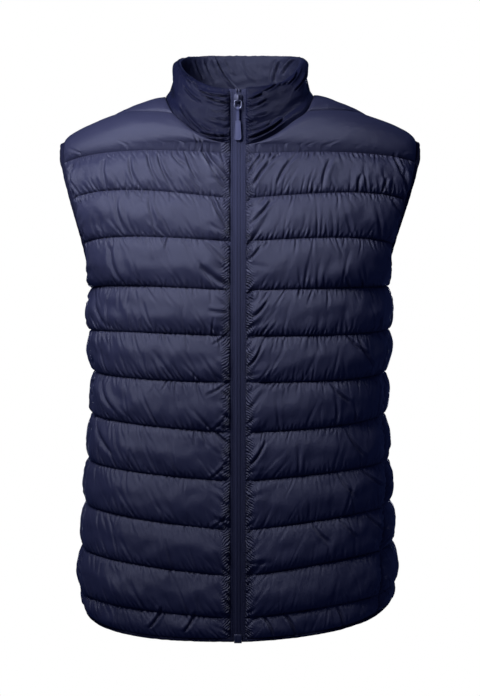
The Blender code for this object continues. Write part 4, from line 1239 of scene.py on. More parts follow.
@dataclass
class ShoulderYoke:
    """The plain yoke: one piece over both shoulders and the upper back."""

    across: int = 72
    rise: int = 30
    neck_rows: int = 52
    back_across: int = 40
    finish: Finish = SHELL_NYLON

    def shares(self, side: Side) -> tuple[Array, Array]:
        """Lay out one side of the yoke on the shoulder cap.

        Args:
            side: which side.

        Returns:
            Grids of |x| and turn, of the shoulder and of the half back.
        """
        neck, seam = NECK_SEAM[side], SHOULDER_SEAM[side]
        t = np.linspace(0, 1, 121)
        foot = np.abs(SURFACE.back(side, t, np.full_like(t, CHEST_RING))[:, 0])
        rear = neck[NECK_REAR]
        corner_x = np.interp(YOKE_CORNER, t, foot)
        part = self.rise / (self.rise + self.neck_rows)

        def foot_at(s: Array) -> Array:
            """Points of the yoke's foot at shares of the half back."""
            return pairs(np.interp(s, t, foot), np.full_like(s, -90.0))

        def inner_side(w: Array) -> Array:
            """The shoulder's side at the neck: up the back, then round the neck seam."""
            s = np.clip(w / part, 0, 1)
            low = pairs(corner_x + (rear[0] - corner_x) * s, -90 + (rear[1] + 90) * s)
            s = np.clip((w - part) / (1 - part), 0, 1)
            high = cap_line(neck, NECK_REAR + (NECK_CORNER - NECK_REAR) * s)
            return np.where((w <= part)[:, None], low, high)

        tip = seam[-1]
        shoulder = patch(
            bottom=lambda s: foot_at(YOKE_CORNER + (1 - YOKE_CORNER) * s),
            top=lambda s: cap_line(seam, s * (len(seam) - 1)),
            start=inner_side,
            end=lambda w: pairs(foot[-1] + (tip[0] - foot[-1]) * w, -90 + (tip[1] + 90) * w),
            u=np.linspace(0, 1, self.across + 1),
            w=np.concatenate([np.linspace(0, part, self.rise + 1),
                              np.linspace(part, 1, self.neck_rows + 1)[1:]]))
        middle = patch(
            bottom=lambda s: foot_at(YOKE_CORNER * s),
            top=lambda s: cap_line(neck, len(neck) - 1 - s * (len(neck) - 1 - NECK_REAR)),
            start=lambda w: pairs(np.zeros_like(w), -90 + (neck[-1][1] + 90) * w),
            end=lambda w: inner_side(w * part),
            u=np.linspace(0, 1, self.back_across + 1),
            w=np.linspace(0, 1, self.rise + 1))
        return shoulder, middle

    def build(self) -> Piece:
        """Make the yoke, with soft folds from the collar to the armholes.

        Returns:
            The yoke.
        """
        seen: dict[tuple, int] = {}
        points, outs, faces = [], [], []
        self.edges = {}
        for side in Side:
            for grid_number, places in enumerate(self.shares(side)):
                grid, normals = SURFACE.cap(side, places), SURFACE.cap_normals(side, places)
                if grid_number == 0:
                    self.edges[side] = grid[:, -1], normals[:, -1]
                numbers = np.empty(grid.shape[:2], int)
                for i, j in np.ndindex(*numbers.shape):
                    key = tuple(np.round(grid[i, j], 2))
                    if key not in seen:
                        seen[key] = len(points)
                        points.append(grid[i, j])
                        outs.append(normals[i, j])
                    numbers[i, j] = seen[key]
                faces.extend(face for face in grid_faces(numbers) if len(set(face)) == 4)
        return self.shell(np.array(points), unit(np.array(outs)), faces)

    def shell(self, points: Array, outs: Array, faces: list[tuple[int, ...]]) -> Piece:
        """Closed body of the yoke.

        Args:
            points: the yoke at stitch level.
            outs: outward normals there.
            faces: corners of its faces.

        Returns:
            The yoke.
        """
        count: dict[tuple[int, int], int] = {}
        for face in faces:
            for one, two in zip(face, face[1:] + face[:1]):
                key = (min(one, two), max(one, two))
                count[key] = count.get(key, 0) + 1
        rim = [pair for pair, number in count.items() if number == 1]
        on_rim = sorted({v for pair in rim for v in pair})
        tree = KDTree(len(on_rim))
        for number in on_rim:
            tree.insert(points[number], number)
        tree.balance()
        middle = points.mean(axis=0)
        towards = {v: unit(middle - points[v]) for v in on_rim}
        away = np.array([tree.find(p)[2] for p in points])
        noise, fine = Noise(91), Noise(92)
        x, y = points[:, 0], points[:, 1]
        relief = YOKE_PUFF * 1.15 * edge_rise(away, 14.0)
        folds = 0.8 * noise.at((x + 0.7 * y) / 38, y / 55 + 4) + 0.5 * fine.at(x / 14, y / 26)
        relief = relief + folds * edge_rise(away, 10.0)
        relief = relief + 0.8 * fine.at(x / 6.2, y / 30 + 9) * np.exp(-away / 7.0) * (1 - np.exp(-away / 1.5))
        inner = points - outs * WALL
        outer = points + outs * relief[:, None]
        for number in on_rim:
            shift = towards[number] - outs[number] * (towards[number] @ outs[number])
            outer[number] = points[number] - unit(shift) * SEAM_LAP
            inner[number] = outer[number] - outs[number] * WALL
        total = len(points)
        under = [tuple(v + total for v in face) for face in faces]
        sides = [(one, two, two + total, one + total) for one, two in rim]
        piece = new_piece("shoulder_yoke_cloth", np.concatenate([outer, inner]), faces + under + sides, self.finish,
                          "shoulder_yoke")
        return piece


# ---- collar -----------------------------------------------------------------
# rise up the collar and how far its outer side stands out at the shoulders
COLLAR_WAIST = np.array([(0.0, 0.0), (0.15, -2.6), (0.35, -3.6), (0.6, 0.2), (0.82, 3.4), (0.94, 3.0), (1.0, 0.6)])
COLLAR_TUFTS = Gathers(4.2, (5, 16), (0.9, 1.4), (0.9, 1.8), sway=0.3)


@dataclass
class Collar:
    """The stand collar: its outer side and its lining, back to back."""

    steps: int = 168             # columns of each half
    rows: int = 44
    ratio: int = 4
    outer_creases: Sequence[Crease] = ()
    lining_creases: Sequence[Crease] = ()
    fold_depth: float = 2.6      # times each fold's own depth
    lining_depth: float = 1.6

    def lines(self, side: Side, share: Array) -> tuple[Array, Array]:
        """Base and top points at shares from the zip to the middle back."""
        neck, top = NECK_SEAM[side], np.array(COLLAR_TOP[side], float)
        base = SURFACE.cap(side, cap_line(neck, share * (len(neck) - 1)))
        edge = through(range(len(top)), top, share * (len(top) - 1))
        return base + np.array([0, 0, SEAM_GAP + 0.2]), edge * np.array([side.value, 1, 1])

    def build(self) -> tuple[Piece, Piece]:
        """Make both sides of the collar.

        Returns:
            Its outer side and its lining.
        """
        share = even_shares(lambda s: self.lines(Side.RIGHT, s)[0], self.steps)
        right, left = self.lines(Side.RIGHT, share), self.lines(Side.LEFT, share[::-1][1:])
        base = np.concatenate([right[0], left[0]])
        top = np.concatenate([right[1], left[1]])
        for line in (base, top):
            self.round_middle(line)
        top[:, 0] *= 1 + 0.05 * np.clip((np.abs(top[:, 0]) - 45) / 20, 0, 1)
        run, wave = run_length(top[None])[0], Noise(47)
        ripple = 0.7 * wave.at(run / 8.5) + 0.5 * wave.at(run / 4.2, 3.0)
        top += ripple[:, None] * np.array([0, 0.5, 1.0])
        rise = channel_steps(self.rows)
        grid = base + (top - base) * rise[:, None, None]
        normals = unit(grid_normals(grid) * np.array([1, 1, 0.35]))
        along = run_length(grid)
        up = run_length(grid, axis=0)
        near = np.minimum(along, along[:, -1:] - along)
        end = np.clip(1 - near / 14.0, 0, 1)[..., None]
        normals = unit(normals * (1 - end) + np.array([0, -1, 0]) * end)
        lofts = through(COLLAR_ROWS[:, 0], COLLAR_ROWS[:, 1:], rise)
        reach = edge_rise(near * 1.6)
        px, py = frame_pixels(grid)
        front = np.clip((12 - grid[..., 1]) / 20, 0, 1)
        broadside = normals[..., 0] ** 2 * np.clip((60 - grid[..., 1]) / 30, 0, 1)
        waist = through(COLLAR_WAIST[:, 0], COLLAR_WAIST[:, 1:], rise)
        outer = lofts[:, :1] * reach * (1 - broadside) + waist * broadside + self.folds(along, up, near, rise, 51)
        outer = outer + self.fold_depth * crease_relief(px, py, self.outer_creases) * front * np.minimum(near / 3, 1)
        outer[0] = 0
        outer = np.maximum(outer, -0.5 - 4.0 * broadside)
        lining = lofts[:, 1:] * reach + 0.7 * self.folds(along, up, near, rise, 57)
        rear = np.clip((grid[..., 1] - 5) / 15, 0, 1)
        lining = lining - self.lining_depth * crease_relief(px, py, self.lining_creases) * rear
        lining = np.maximum(lining, -0.6)
        return (self.side_wall("collar_outer", grid + normals * outer[..., None],
                               grid - normals * COLLAR_SHELL, COLLAR_NYLON),
                self.side_wall("collar_inner", grid - normals * (2 * COLLAR_SHELL + SEAM_GAP + lining)[..., None],
                               grid - normals * COLLAR_SHELL, LINING_NYLON))

    @staticmethod
    def round_middle(line: Array, passes: int = 220) -> None:
        """Round the line's corner at the middle of the back, in place."""
        near = np.clip(1.6 - np.abs(line[:, :1]) / 25.0, 0, 1) * (line[:, 1:2] > 0)
        for _ in range(passes):
            mean = (np.roll(line, 1, axis=0) + np.roll(line, -1, axis=0)) / 2
            line += near * (mean - line) * 0.8

    @staticmethod
    def folds(along: Array, up: Array, near: Array, rise: Array, seed: int) -> Array:
        """Soft folds round the collar, tufts along its seam and beside the zip.

        Args:
            along: distance round the collar.
            up: distance up from the neck seam.
            near: distance from the nearer tape.
            rise: share of the collar's height of each row.
            seed: which pattern.

        Returns:
            Millimetres along the outward normal.
        """
        soft, small, draw = Noise(seed), Noise(seed + 1), np.random.default_rng(seed)
        inside = np.sin(math.pi * rise)[:, None] ** 0.5
        total = 1.3 * soft.at(along / 44 + 0.4 * up / 40, up / 15) * inside
        total = total + 0.6 * small.at(along / 17 + 0.6 * up / 17, up / 8) * inside
        down = up[-1:] - up
        for family, share in ((PUCKERS, 0.8), (PULLS, 0.7)):
            total = total + share * family.relief(draw, along, up, lambda at: 0.0)
            total = total + 0.6 * share * family.relief(draw, along, down, lambda at: 0.0)
        for family, share in ((COLLAR_TUFTS, 1.5), (END_PULLS, 1.1)):
            total = total + share * family.relief(draw, up.T, near.T, lambda at: 0.1).T * inside
        return total

    def side_wall(self, node: str, seen: Array, hidden: Array, finish: Finish) -> Piece:
        """Closed wall of one side of the collar.

        Args:
            node: CAD node that it stands for.
            seen: grid of its visible side.
            hidden: grid that the two sides share.
            finish: what it is made of.

        Returns:
            That side.
        """
        shell = closed_wall(seen, hidden[::self.ratio, ::self.ratio], self.ratio)
        piece = new_piece(node + "_cloth", shell.all_points(), shell.faces, finish, node)
        return piece


def thinned(path: Array, step: float) -> Array:
    """Numbers of a path's points that lie at least a step apart."""
    run = run_length(path[None])[0]
    keep, last = [0], 0.0
    for number in range(1, len(path)):
        if run[number] - last >= step:
            keep.append(number)
            last = run[number]
    return np.array(keep)


@dataclass
class Binding:
    """Stretch binding folded round a raw edge."""

    name: str
    width: float
    thick: float
    lap: float                   # how far it covers the panels' edge
    closed: bool
    step: float = 1.6

    def build(self, path: Array, normals: Array, inward: Array) -> Piece:
        """Fold the binding round an edge.

        Args:
            path: points of the edge.
            normals: outward normals there.
            inward: vectors away from the panels, into the opening.

        Returns:
            The binding.
        """
        keep = thinned(path, self.step)
        path, normals, inward = path[keep], normals[keep], inward[keep]
        if self.closed:
            for _ in range(2):
                normals = unit(normals + np.roll(normals, 1, axis=0) + np.roll(normals, -1, axis=0))
                path = (2 * path + np.roll(path, 1, axis=0) + np.roll(path, -1, axis=0)) / 4
        across = unit(np.cross(tangents(path, self.closed), normals))
        across = across * (1 if (across * inward).sum() > 0 else -1)
        run = run_length(path[None])[0]
        ripple = Noise(61)
        swell = 1 + 0.10 * ripple.at(run / 7.0) + 0.10 * ripple.at(run / 23.0, 5.0)
        shift = 0.25 * ripple.at(run / 12.0, 9.0)
        half = self.thick / 2
        section = [(-self.lap, 0.10 * half), (-self.lap + 0.5, 0.95 * half), (0.35 * self.width, 0.80 * half)]
        for turn in np.linspace(0.5 * math.pi, -0.5 * math.pi, 9):
            section.append((self.width - half + half * math.cos(turn), half * math.sin(turn)))
        section += [(-self.lap, -half), (-self.lap, -0.3 * half)]
        shell = sweep(path + normals * shift[:, None], across * swell[:, None], normals * swell[:, None], section,
                      self.closed)
        piece = new_piece(self.name + "_cloth", shell.all_points(), shell.faces, BINDING_KNIT, self.name)
        return piece


def armhole_path(front: FrontPanel, back: BackPanel, yoke: ShoulderYoke) -> tuple[Array, Array, Array]:
    """Points, normals and inward vectors round the armhole that these pieces leave open."""
    first = front.rows * ARMHOLE_RING
    column = -1 if front.side is Side.LEFT else 0
    over, over_normals = yoke.edges[front.side]
    path = np.concatenate([front.grid[first:, -1], over[-2:0:-1], back.grid[:first:-1, column]])
    normals = np.concatenate([front.normals[first:, -1], over_normals[-2:0:-1], back.normals[:first:-1, column]])
    return path, normals, path.mean(axis=0) - path


def hem_path(right: FrontPanel, back: BackPanel, left: FrontPanel) -> tuple[Array, Array, Array]:
    """Points, normals and downward vectors along the hem."""
    ends = [front.grid[0, :1] * np.array([0.5, 1, 1]) for front in (right, left)]     # over the tapes' ends
    path = np.concatenate([ends[0], right.grid[0], back.grid[0][1:-1], left.grid[0][::-1], ends[1]])
    normals = np.concatenate([right.normals[0, :1], right.normals[0], back.normals[0][1:-1], left.normals[0][::-1],
                              left.normals[0, :1]])
    return path, normals, np.broadcast_to(np.array([0.0, 0.0, -1.0]), path.shape)


# ---- zip tapes --------------------------------------------------------------
@dataclass
class ZipTape:
    """One woven tape: flat at the panel, raised over the coil beside the middle."""

    side: Side
    flat_width: float = 0.0125   # metres
    step: float = 1.6
    lap: float = 1.6             # hidden under the panel's edge
    thick: float = 0.9
    coil_rise: float = 0.75
    ribs: Sequence[tuple[float, float, float]] = ((0.30, 7.4, 0.6), (-0.40, 3.9, 0.5), (-0.35, 6.3, 0.4))
    mouth: float = -7.0          # height at which the slider parts the tapes
    mouth_reach: float = 5.0
    parted: float = 1.05
    sewn_columns: tuple[int, int] = (14, 18)

    def build(self) -> Piece:
        """Make the tape.

        Returns:
            The tape.
        """
        name = "zip_tape_" + self.side.name.lower()
        z = np.arange(ZIP_BOTTOM, ZIP_TOP + 0.1, self.step)
        x = np.array([0.02, 0.3, 0.7, 1.2, 1.8, 2.4, 2.8, 3.1, 3.5, 3.9, 4.3, 4.9, 5.7, 6.2, 6.6, 7.0, 7.5, 8.1,
                      8.6, 9.2, 9.2 + self.lap])
        rise = self.coil_rise * np.sqrt(np.clip(1 - ((x - 1.5) / 1.55) ** 2, 0, 1))
        for height, middle, half in self.ribs:
            rise = rise + height * bell(x - middle, half)
        ripple = Noise(71 + self.side.value)
        wave = 0.22 * ripple.at(z[:, None] / 9.0, x[None, :] / 6) * np.clip(x / 4, 0, 1)
        open_at = np.clip(1 - np.abs(z - self.mouth) / self.mouth_reach, 0, 1)[:, None]
        spread = self.parted * open_at * np.clip(1 - x / 5, 0, 1)
        xx = self.side.value * (x[None, :] + spread)
        depth = SURFACE.zip_depth(z)[:, None]
        front, rear = (np.stack(np.broadcast_arrays(xx, y, z[:, None]), axis=-1)
                       for y in (depth - rise[None, :] - wave, depth + self.thick))
        shell = closed_wall(front, rear, 1)
        piece = new_piece(name + "_cloth", shell.all_points(), shell.faces, TAPE_WEAVE, name)
        self.sewn = [front[2:-2, column] for column in self.sewn_columns]
        return piece


# ---- zip parts --------------------------------------------------------------
BEVEL_ANGLE = 35.0           # degrees from which a hard edge is rounded
SHARP_ANGLE = 50.0           # and from which it is still shaded sharp
Solid = tuple[Array, list[tuple[int, ...]]]


def loop_faces(first: Array, second: Array) -> list[tuple[int, ...]]:
    """Faces between two closed loops of point numbers."""
    return [(a, b, d, c) for a, b, c, d in zip(first, np.roll(first, -1), second, np.roll(second, -1))]


def rectangle(left: float, right: float, low: float, high: float, radius: float = 0.0) -> Outline:
    """Outline of a rectangle with corners cut to a soft curve of about this radius."""
    corners = [(left, low), (right, low), (right, high), (left, high)]
    return rounded(corners, radius) if radius else corners


def prism(outline: Outline, low: float, high: float, axis: int) -> Solid:
    """Points and faces of an outline pushed from low to high along an axis.

    Args:
        outline: points in the plane across the axis, in X, Y, Z order without it.
        low: where it starts.
        high: where it ends.
        axis: 0, 1 or 2 for X, Y or Z.

    Returns:
        Points in millimetres and faces.
    """
    count = len(outline)
    points = [list(np.insert(np.array(p, float), axis, at)) for at in (low, high) for p in outline]
    around = np.arange(count)
    return np.array(points), [tuple(around), tuple(around + count), *loop_faces(around, around + count)]


def rounded(outline: Outline, radius: float | Sequence[float], steps: int = 4) -> Outline:
    """Outline with its corners cut to soft curves.

    Args:
        outline: the corners.
        radius: about the curves' radius, one for all or one for each.
        steps: lines of each curve.

    Returns:
        The new outline.
    """
    points = np.array(outline, float)
    radii = np.broadcast_to(radius, len(points))
    made = []
    for number, (here, radius) in enumerate(zip(points, radii)):
        before, after = points[number - 1], points[(number + 1) % len(points)]
        into, out = before - here, after - here
        reach = min(radius, 0.45 * np.linalg.norm(into), 0.45 * np.linalg.norm(out))
        start, end = here + unit(into) * reach, here + unit(out) * reach
        for t in np.linspace(0, 1, steps + 1):
            made.append(tuple((1 - t) ** 2 * start + 2 * t * (1 - t) * here + t * t * end))
    return made


def merged(parts: Iterable[Solid]) -> Solid:
    """One set of points and faces from several."""
    points, faces, count = [], [], 0
    for verts, polygons in parts:
        points.append(verts)
        faces += [tuple(v + count for v in face) for face in polygons]
        count += len(verts)
    return np.concatenate(points), faces


def hard_piece(name: str, node: str, parts: Iterable[Solid], finish: Finish, edge: float,
               body: str = "root") -> Piece:
    """Piece of hard parts whose edges are rounded.

    Args:
        name: the piece's name.
        node: the CAD node that it stands for.
        parts: points and faces of each part.
        finish: what it is made of.
        edge: width of the rounding in millimetres.
        body: the CAD body that it moves with.

    Returns:
        The piece.
    """
    verts, faces = merged(parts)
    piece = new_piece(name, verts, faces, finish, node, body=body, smooth=40)
    bevel = piece.modifiers.new("edges", "BEVEL")
    bevel.width = edge * MM
    bevel.segments = 3
    bevel.limit_method = "ANGLE"
    bevel.angle_limit = math.radians(BEVEL_ANGLE)
    evaluated = piece.evaluated_get(bpy.context.evaluated_depsgraph_get())
    old = piece.data
    piece.data = bpy.data.meshes.new_from_object(evaluated)
    piece.modifiers.clear()
    piece.data.name = old.name
    bpy.data.meshes.remove(old)
    piece.data.shade_smooth()
    piece.data.set_sharp_from_angle(angle=math.radians(SHARP_ANGLE))
    return piece


def tube(route: Array, radius: float, sides: int, closed: bool, guide: Sequence[float]) -> Shell:
    """Round wire along a route.

    Args:
        route: points along its middle.
        radius: half its thickness.
        sides: corners of its section.
        closed: whether the route returns to its start.
        guide: a direction that the route never takes.

    Returns:
        The wire's points and faces.
    """
    along = tangents(route, closed)
    across = unit(np.cross(along, np.array(guide)))
    up = unit(np.cross(across, along))
    turn = np.linspace(0, 2 * math.pi, sides, endpoint=False)
    return sweep(route, across, up, pairs(radius * np.cos(turn), radius * np.sin(turn)), closed)


@dataclass
class ZipHardware:
    """Slider, pull, stops, box and coil of the zip."""

    top: float = -4.0            # slider's top and bottom
    bottom: float = -15.0
    width: float = 9.2
    neck: float = 6.4
    plate: float = 1.8
    coil_room: float = 1.2
    post: float = 1.8
    bridge: float = 2.6
    bridge_thick: float = 1.1
    wire: float = 0.8
    wire_room: float = 0.4
    ring_half: float = 4.9
    ring_height: float = 11.6
    strap_width: float = 3.4
    strap_thick: float = 2.0
    eye_radius: float = 2.7
    eye_bore: float = 1.7
    tab_top: float = -37.0
    tab_bottom: float = -60.5
    tab_top_half: float = 3.1
    tab_bottom_half: float = 4.5
    tab_thick: float = 2.6
    box_top: float = -657.0
    box_bottom: float = -667.6
    box_half: float = 4.6
    coil_pitch: float = 1.35
    coil_middle: float = 1.15    # from the zip's middle
    coil_half: float = 1.55
    coil_depth: float = 0.62
    coil_wire: float = 0.26

    def __post_init__(self) -> None:
        """Work out the pull's axis from the slider's face."""
        middle = (self.top + self.bottom) / 2
        self.tape_front = float(SURFACE.zip_depth(np.array([middle]))[0])
        self.front = self.tape_front - self.coil_room
        self.face = self.front - self.plate
        self.axis_y = self.face - self.wire - self.wire_room
        self.axis_z = self.bottom + 0.4 + 1.0 + self.wire + self.wire_room
        self.ring_low = self.axis_z - self.ring_height + 2 * self.wire

    def slider(self) -> Piece:
        """Two plates with turned-in flanges, the post between them and the bridge.

        Returns:
            The slider.
        """
        half, waist = self.width / 2, self.neck / 2
        middle = (self.top + self.bottom) / 2
        outline = rounded([(-half + 1, self.top), (half - 1, self.top), (half, self.top - 2.0), (half, middle),
                           (waist, self.bottom), (-waist, self.bottom), (-half, middle), (-half, self.top - 2.0)], 1.2)
        behind = self.tape_front + TAPE_THICK + self.coil_room
        post = rectangle(-self.post / 2, self.post / 2, self.top - 3.7, self.top - 1.3, 0.4)
        crown = rounded([(-2.6, self.top - 0.9), (2.6, self.top - 0.9), (3.0, middle), (2.0, self.bottom + 0.9),
                         (-2.0, self.bottom + 0.9), (-3.0, middle)], 1.2)
        room = 2 * (self.wire + self.wire_room)
        low, high = self.bottom + 0.4, self.top - 1.0
        reach = self.face - room - self.bridge_thick
        arch = [(self.face + 0.5, low), (reach + 0.4, low), (reach, low + 0.8), (reach, high - 1.5),
                (reach + 0.6, high - 0.5), (self.face + 0.5, high), (self.face + 0.5, high - 2.0),
                (self.face - room, high - 2.4), (self.face - room, low + 1.0), (self.face + 0.5, low + 1.0)]
        parts = [prism(outline, self.face, self.front, 1), prism(outline, behind, behind + self.plate, 1),
                 prism(post, self.front - 0.4, behind + 0.4, 1), prism(crown, self.face - 0.45, self.face + 0.4, 1),
                 prism(arch, -self.bridge / 2, self.bridge / 2, 0)]
        for side in Side:
            edge = side.value * (half - 0.55)
            flange = rectangle(edge - 0.5, edge + 0.5, self.top - 1.6, middle + 0.4)
            parts.append(prism(flange, self.front - 0.2, self.tape_front - 0.25, 1))
        return hard_piece("zip_slider_cast", "zip_slider", parts, ZIP_METAL, 0.28)

    def ring(self) -> Piece:
        """Wire ring of the pull; its straight top lies on the hinge axis.

        Returns:
            The ring.
        """
        half, low, turn = self.ring_half - self.wire, self.ring_low, 1.6
        corners = np.radians(np.linspace(0, 90, 7))
        route = [(x, self.axis_z) for x in np.linspace(-half + turn, half - turn, 5)[:-1]]
        route += [(half - turn + turn * math.sin(a), self.axis_z - turn + turn * math.cos(a)) for a in corners]
        route += [(half * math.cos(a), low + half + half * math.sin(a)) for a in -np.radians(np.linspace(0, 180, 25))]
        route += [(-half + turn - turn * math.cos(a), self.axis_z - turn + turn * math.sin(a)) for a in corners[:-1]]
        points = np.array([(x, self.axis_y, z) for x, z in route])
        wire = tube(points, self.wire, 14, closed=True, guide=(0.0, 1.0, 0.0))
        return new_piece("pull_ring_wire", wire.all_points(), wire.faces, PULL_WIRE, "pull_ring", body="pull")

    def tab(self) -> Piece:
        """Moulded strap with its eye on the ring, and the tab with a plain raised rim.

        Returns:
            Strap and tab in one.
        """
        y, eye_z, half = self.axis_y, self.ring_low, self.strap_thick / 2
        eye = [(y + self.eye_radius * math.sin(a), eye_z + self.eye_radius * math.cos(a))
               for a in np.radians(np.linspace(-142, 142, 22))]
        hole = [(y + self.eye_bore * math.sin(a), eye_z + self.eye_bore * math.cos(a))
                for a in np.radians(np.linspace(-165, 165, 22))]
        wall = eye + [(y + half, eye_z - 3.2), (y + half, self.tab_top - 1.2),
                      (y - half, self.tab_top - 1.2), (y - half, eye_z - 3.2)]
        top, bottom = self.tab_top_half, self.tab_bottom_half
        middle_z = 0.55 * self.tab_top + 0.45 * self.tab_bottom
        shape = [(-top, self.tab_top), (top, self.tab_top), (0.55 * top + 0.45 * bottom - 0.15, middle_z),
                 (bottom, self.tab_bottom), (-bottom, self.tab_bottom), (-0.55 * top - 0.45 * bottom + 0.15, middle_z)]
        turns = (1.2, 1.2, 3.0, 3.4, 3.4, 3.0)
        body = rounded(shape, turns, 5)
        thick = self.tab_thick / 2
        inner = rounded([(x * 0.74, self.tab_bottom + 1.3 + (z - self.tab_bottom) * 0.88) for x, z in shape],
                        [0.75 * turn for turn in turns], 5)
        parts = [self.eyed_strap(wall, hole), prism(body, y - thick + 0.35, y + thick, 1),
                 self.rim(body, inner, y - thick, y - thick + 0.5)]
        for number in range(3):
            bar = self.tab_top + 2.2 + 2.0 * number
            parts.append(prism(rectangle(-1.9, 1.9, bar, bar + 0.8, 0.3), y - half - 0.3, y - half + 0.2, 1))
        return hard_piece("pull_tab_moulded", "pull_tab", parts, PULL_RUBBER, 0.4, body="pull")

    def eyed_strap(self, wall: Outline, hole: Outline) -> Solid:
        """Strap pushed along X, with a bore through its eye.

        Args:
            wall: the strap's outline; it starts with as many points as the bore, round the eye.
            hole: the bore's outline.

        Returns:
            Points in millimetres and faces.
        """
        count, bore = len(wall), len(hole)
        half = self.strap_width / 2
        points = [(x, a, b) for x in (-half, half) for a, b in (*wall, *hole)]
        faces = []
        stride = count + bore
        for base in (0, stride):
            for i in range(bore - 1):
                faces.append((base + i, base + i + 1, base + count + i + 1, base + count + i))
            faces.append((*range(base + bore - 1, base + count), base, base + count, base + stride - 1))
        around, through_eye = np.arange(count), count + np.arange(bore)
        faces += loop_faces(around, stride + around) + loop_faces(through_eye, stride + through_eye)
        return np.array(points), faces

    @staticmethod
    def rim(outer: Outline, inner: Outline, low: float, high: float) -> Solid:
        """Raised rim between two outlines with as many points each."""
        points = [(x, at, z) for at in (low, high) for ring in (outer, inner) for x, z in ring]
        loops = np.arange(4 * len(outer)).reshape(4, -1)
        faces = [face for one, two in ((0, 1), (2, 3), (0, 2), (1, 3)) for face in loop_faces(loops[one], loops[two])]
        return np.array(points), faces

    def ends(self) -> list[Piece]:
        """The box at the zip's foot and the two stops at its top.

        Returns:
            The box, then the stops.
        """
        box_top, box_bottom, half = self.box_top, self.box_bottom, self.box_half
        front = float(SURFACE.zip_depth(np.array([box_top]))[0]) - SEAM_GAP
        deep = float(SURFACE.zip_depth(np.array([ZIP_BOTTOM]))[0]) + TAPE_THICK
        shape = rounded([(front, box_top), (front, ZIP_BOTTOM - SEAM_GAP), (deep, ZIP_BOTTOM - SEAM_GAP),
                         (deep, box_bottom), (front - 2.2, box_bottom), (front - 2.2, box_top)], 0.5, 2)
        parts = [prism(shape, -half, half, 0)]
        for side in Side:
            x = side.value * 2.4
            plate = rectangle(x - 1.1, x + 1.1, box_top - 1.2, box_bottom + 1.2, 0.5)
            parts.append(prism(plate, front - 2.55, front - 2.0, 1))
        made = [hard_piece("zip_box_cast", "zip_box", parts, ZIP_METAL, 0.3)]
        top = ZIP_TOP - 0.6
        for side in Side:
            y = float(SURFACE.zip_depth(np.array([top]))[0]) - SEAM_GAP
            near, far = sorted((side.value * 0.5, side.value * 2.7))
            parts = [prism(rectangle(near, far, top - 3.4, top, 0.5), y - 1.4, y, 1),
                     prism(rectangle(near + 0.5, far - 0.5, top - 3.7, top + 0.1, 0.4), y - 1.6, y - 1.1, 1)]
            name = "zip_stop_" + side.name.lower()
            made.append(hard_piece(name + "_cast", name, parts, ZIP_METAL, 0.2))
        return made

    def coil(self, side: Side) -> Piece:
        """Coil of one tape, on the inner side where the two mesh.

        Args:
            side: which tape.

        Returns:
            The coil.
        """
        low, high = ZIP_BOTTOM + 6, self.bottom - 1.5
        turns = int((high - low) / self.coil_pitch)
        per_turn = 8
        phase = np.arange(turns * per_turn + 1) / per_turn
        z = low + phase * self.coil_pitch + (0.5 * self.coil_pitch if side is Side.LEFT else 0)
        angle = 2 * math.pi * phase
        x = side.value * (self.coil_middle - self.coil_half * np.cos(angle))
        y = SURFACE.zip_depth(z) + TAPE_THICK + 0.25 + self.coil_depth * np.sin(angle)
        wire = tube(np.stack([x, y, z], axis=-1), self.coil_wire, 5, closed=False, guide=(0.0, 0.0, 1.0))
        return new_piece("zip_coil_" + side.name.lower(), wire.all_points(), wire.faces, COIL_NYLON)

    def build(self) -> list[Piece]:
        """Make the zip's hard parts and its coils.

        Returns:
            Those pieces.
        """
        return [self.slider(), self.ring(), self.tab(), *self.ends(), *(self.coil(side) for side in Side)]


# ---- stitches ---------------------------------------------------------------
@dataclass
class Stitches:
    """Rows of lock stitches in one finish, gathered into one piece."""

    name: str
    pitch: float = 3.0           # a stitch and the hole after it
    length: float = 2.3
    radius: float = 0.26
    dive: float = 0.22           # how far a stitch's ends go into the cloth
    rows: list[tuple[Array, Array]] = field(default_factory=list)

    def add(self, path: Array, normals: Array, sink: float = 0.05) -> None:
        """Add a row of stitches.

        Args:
            path: points of the seam on the cloth.
            normals: outward normals there.
            sink: how deep the thread's middle lies.
        """
        run = run_length(path[None])[0]
        count = int(run[-1] / self.pitch)
        if count < 2:
            return
        middle = (np.arange(count) + 0.5) * run[-1] / count
        ends = []
        for shift in (-0.5, -0.22, 0.22, 0.5):
            at = middle + shift * self.length
            point, out = (np.stack([np.interp(at, run, line[:, axis]) for axis in range(3)], axis=-1)
                          for line in (path, normals))
            out = unit(out)
            ends.append(point + out * (-sink - (self.dive if abs(shift) > 0.4 else 0.0)))
        self.rows.append((np.stack(ends, axis=1), out))

    def build(self) -> Piece:
        """Make one piece of all the rows.

        Returns:
            The thread.
        """
        turn = (2 * math.pi * np.arange(5) / 5)[:, None]
        made = []
        for ends, normals in self.rows:
            along = unit(ends[:, -1] - ends[:, 0])
            across = unit(np.cross(along, normals))
            up = unit(np.cross(across, along))
            spokes = self.radius * (np.cos(turn) * across[:, None] + np.sin(turn) * up[:, None])
            rings = (ends[:, 1:2] + spokes, ends[:, 2:3] + spokes)
            made.append(np.concatenate([*rings, ends[:, :1], ends[:, 3:]], axis=1).reshape(-1, 3))
        verts = np.concatenate(made)
        stitch = [face for a, b in zip(range(5), (1, 2, 3, 4, 0))
                  for face in ((a, b, 5 + b, 5 + a), (10, b, a), (11, 5 + a, 5 + b))]
        faces = [tuple(first + corner for corner in face) for first in range(0, len(verts), 12) for face in stitch]
        return new_piece(self.name, verts, faces, THREAD)


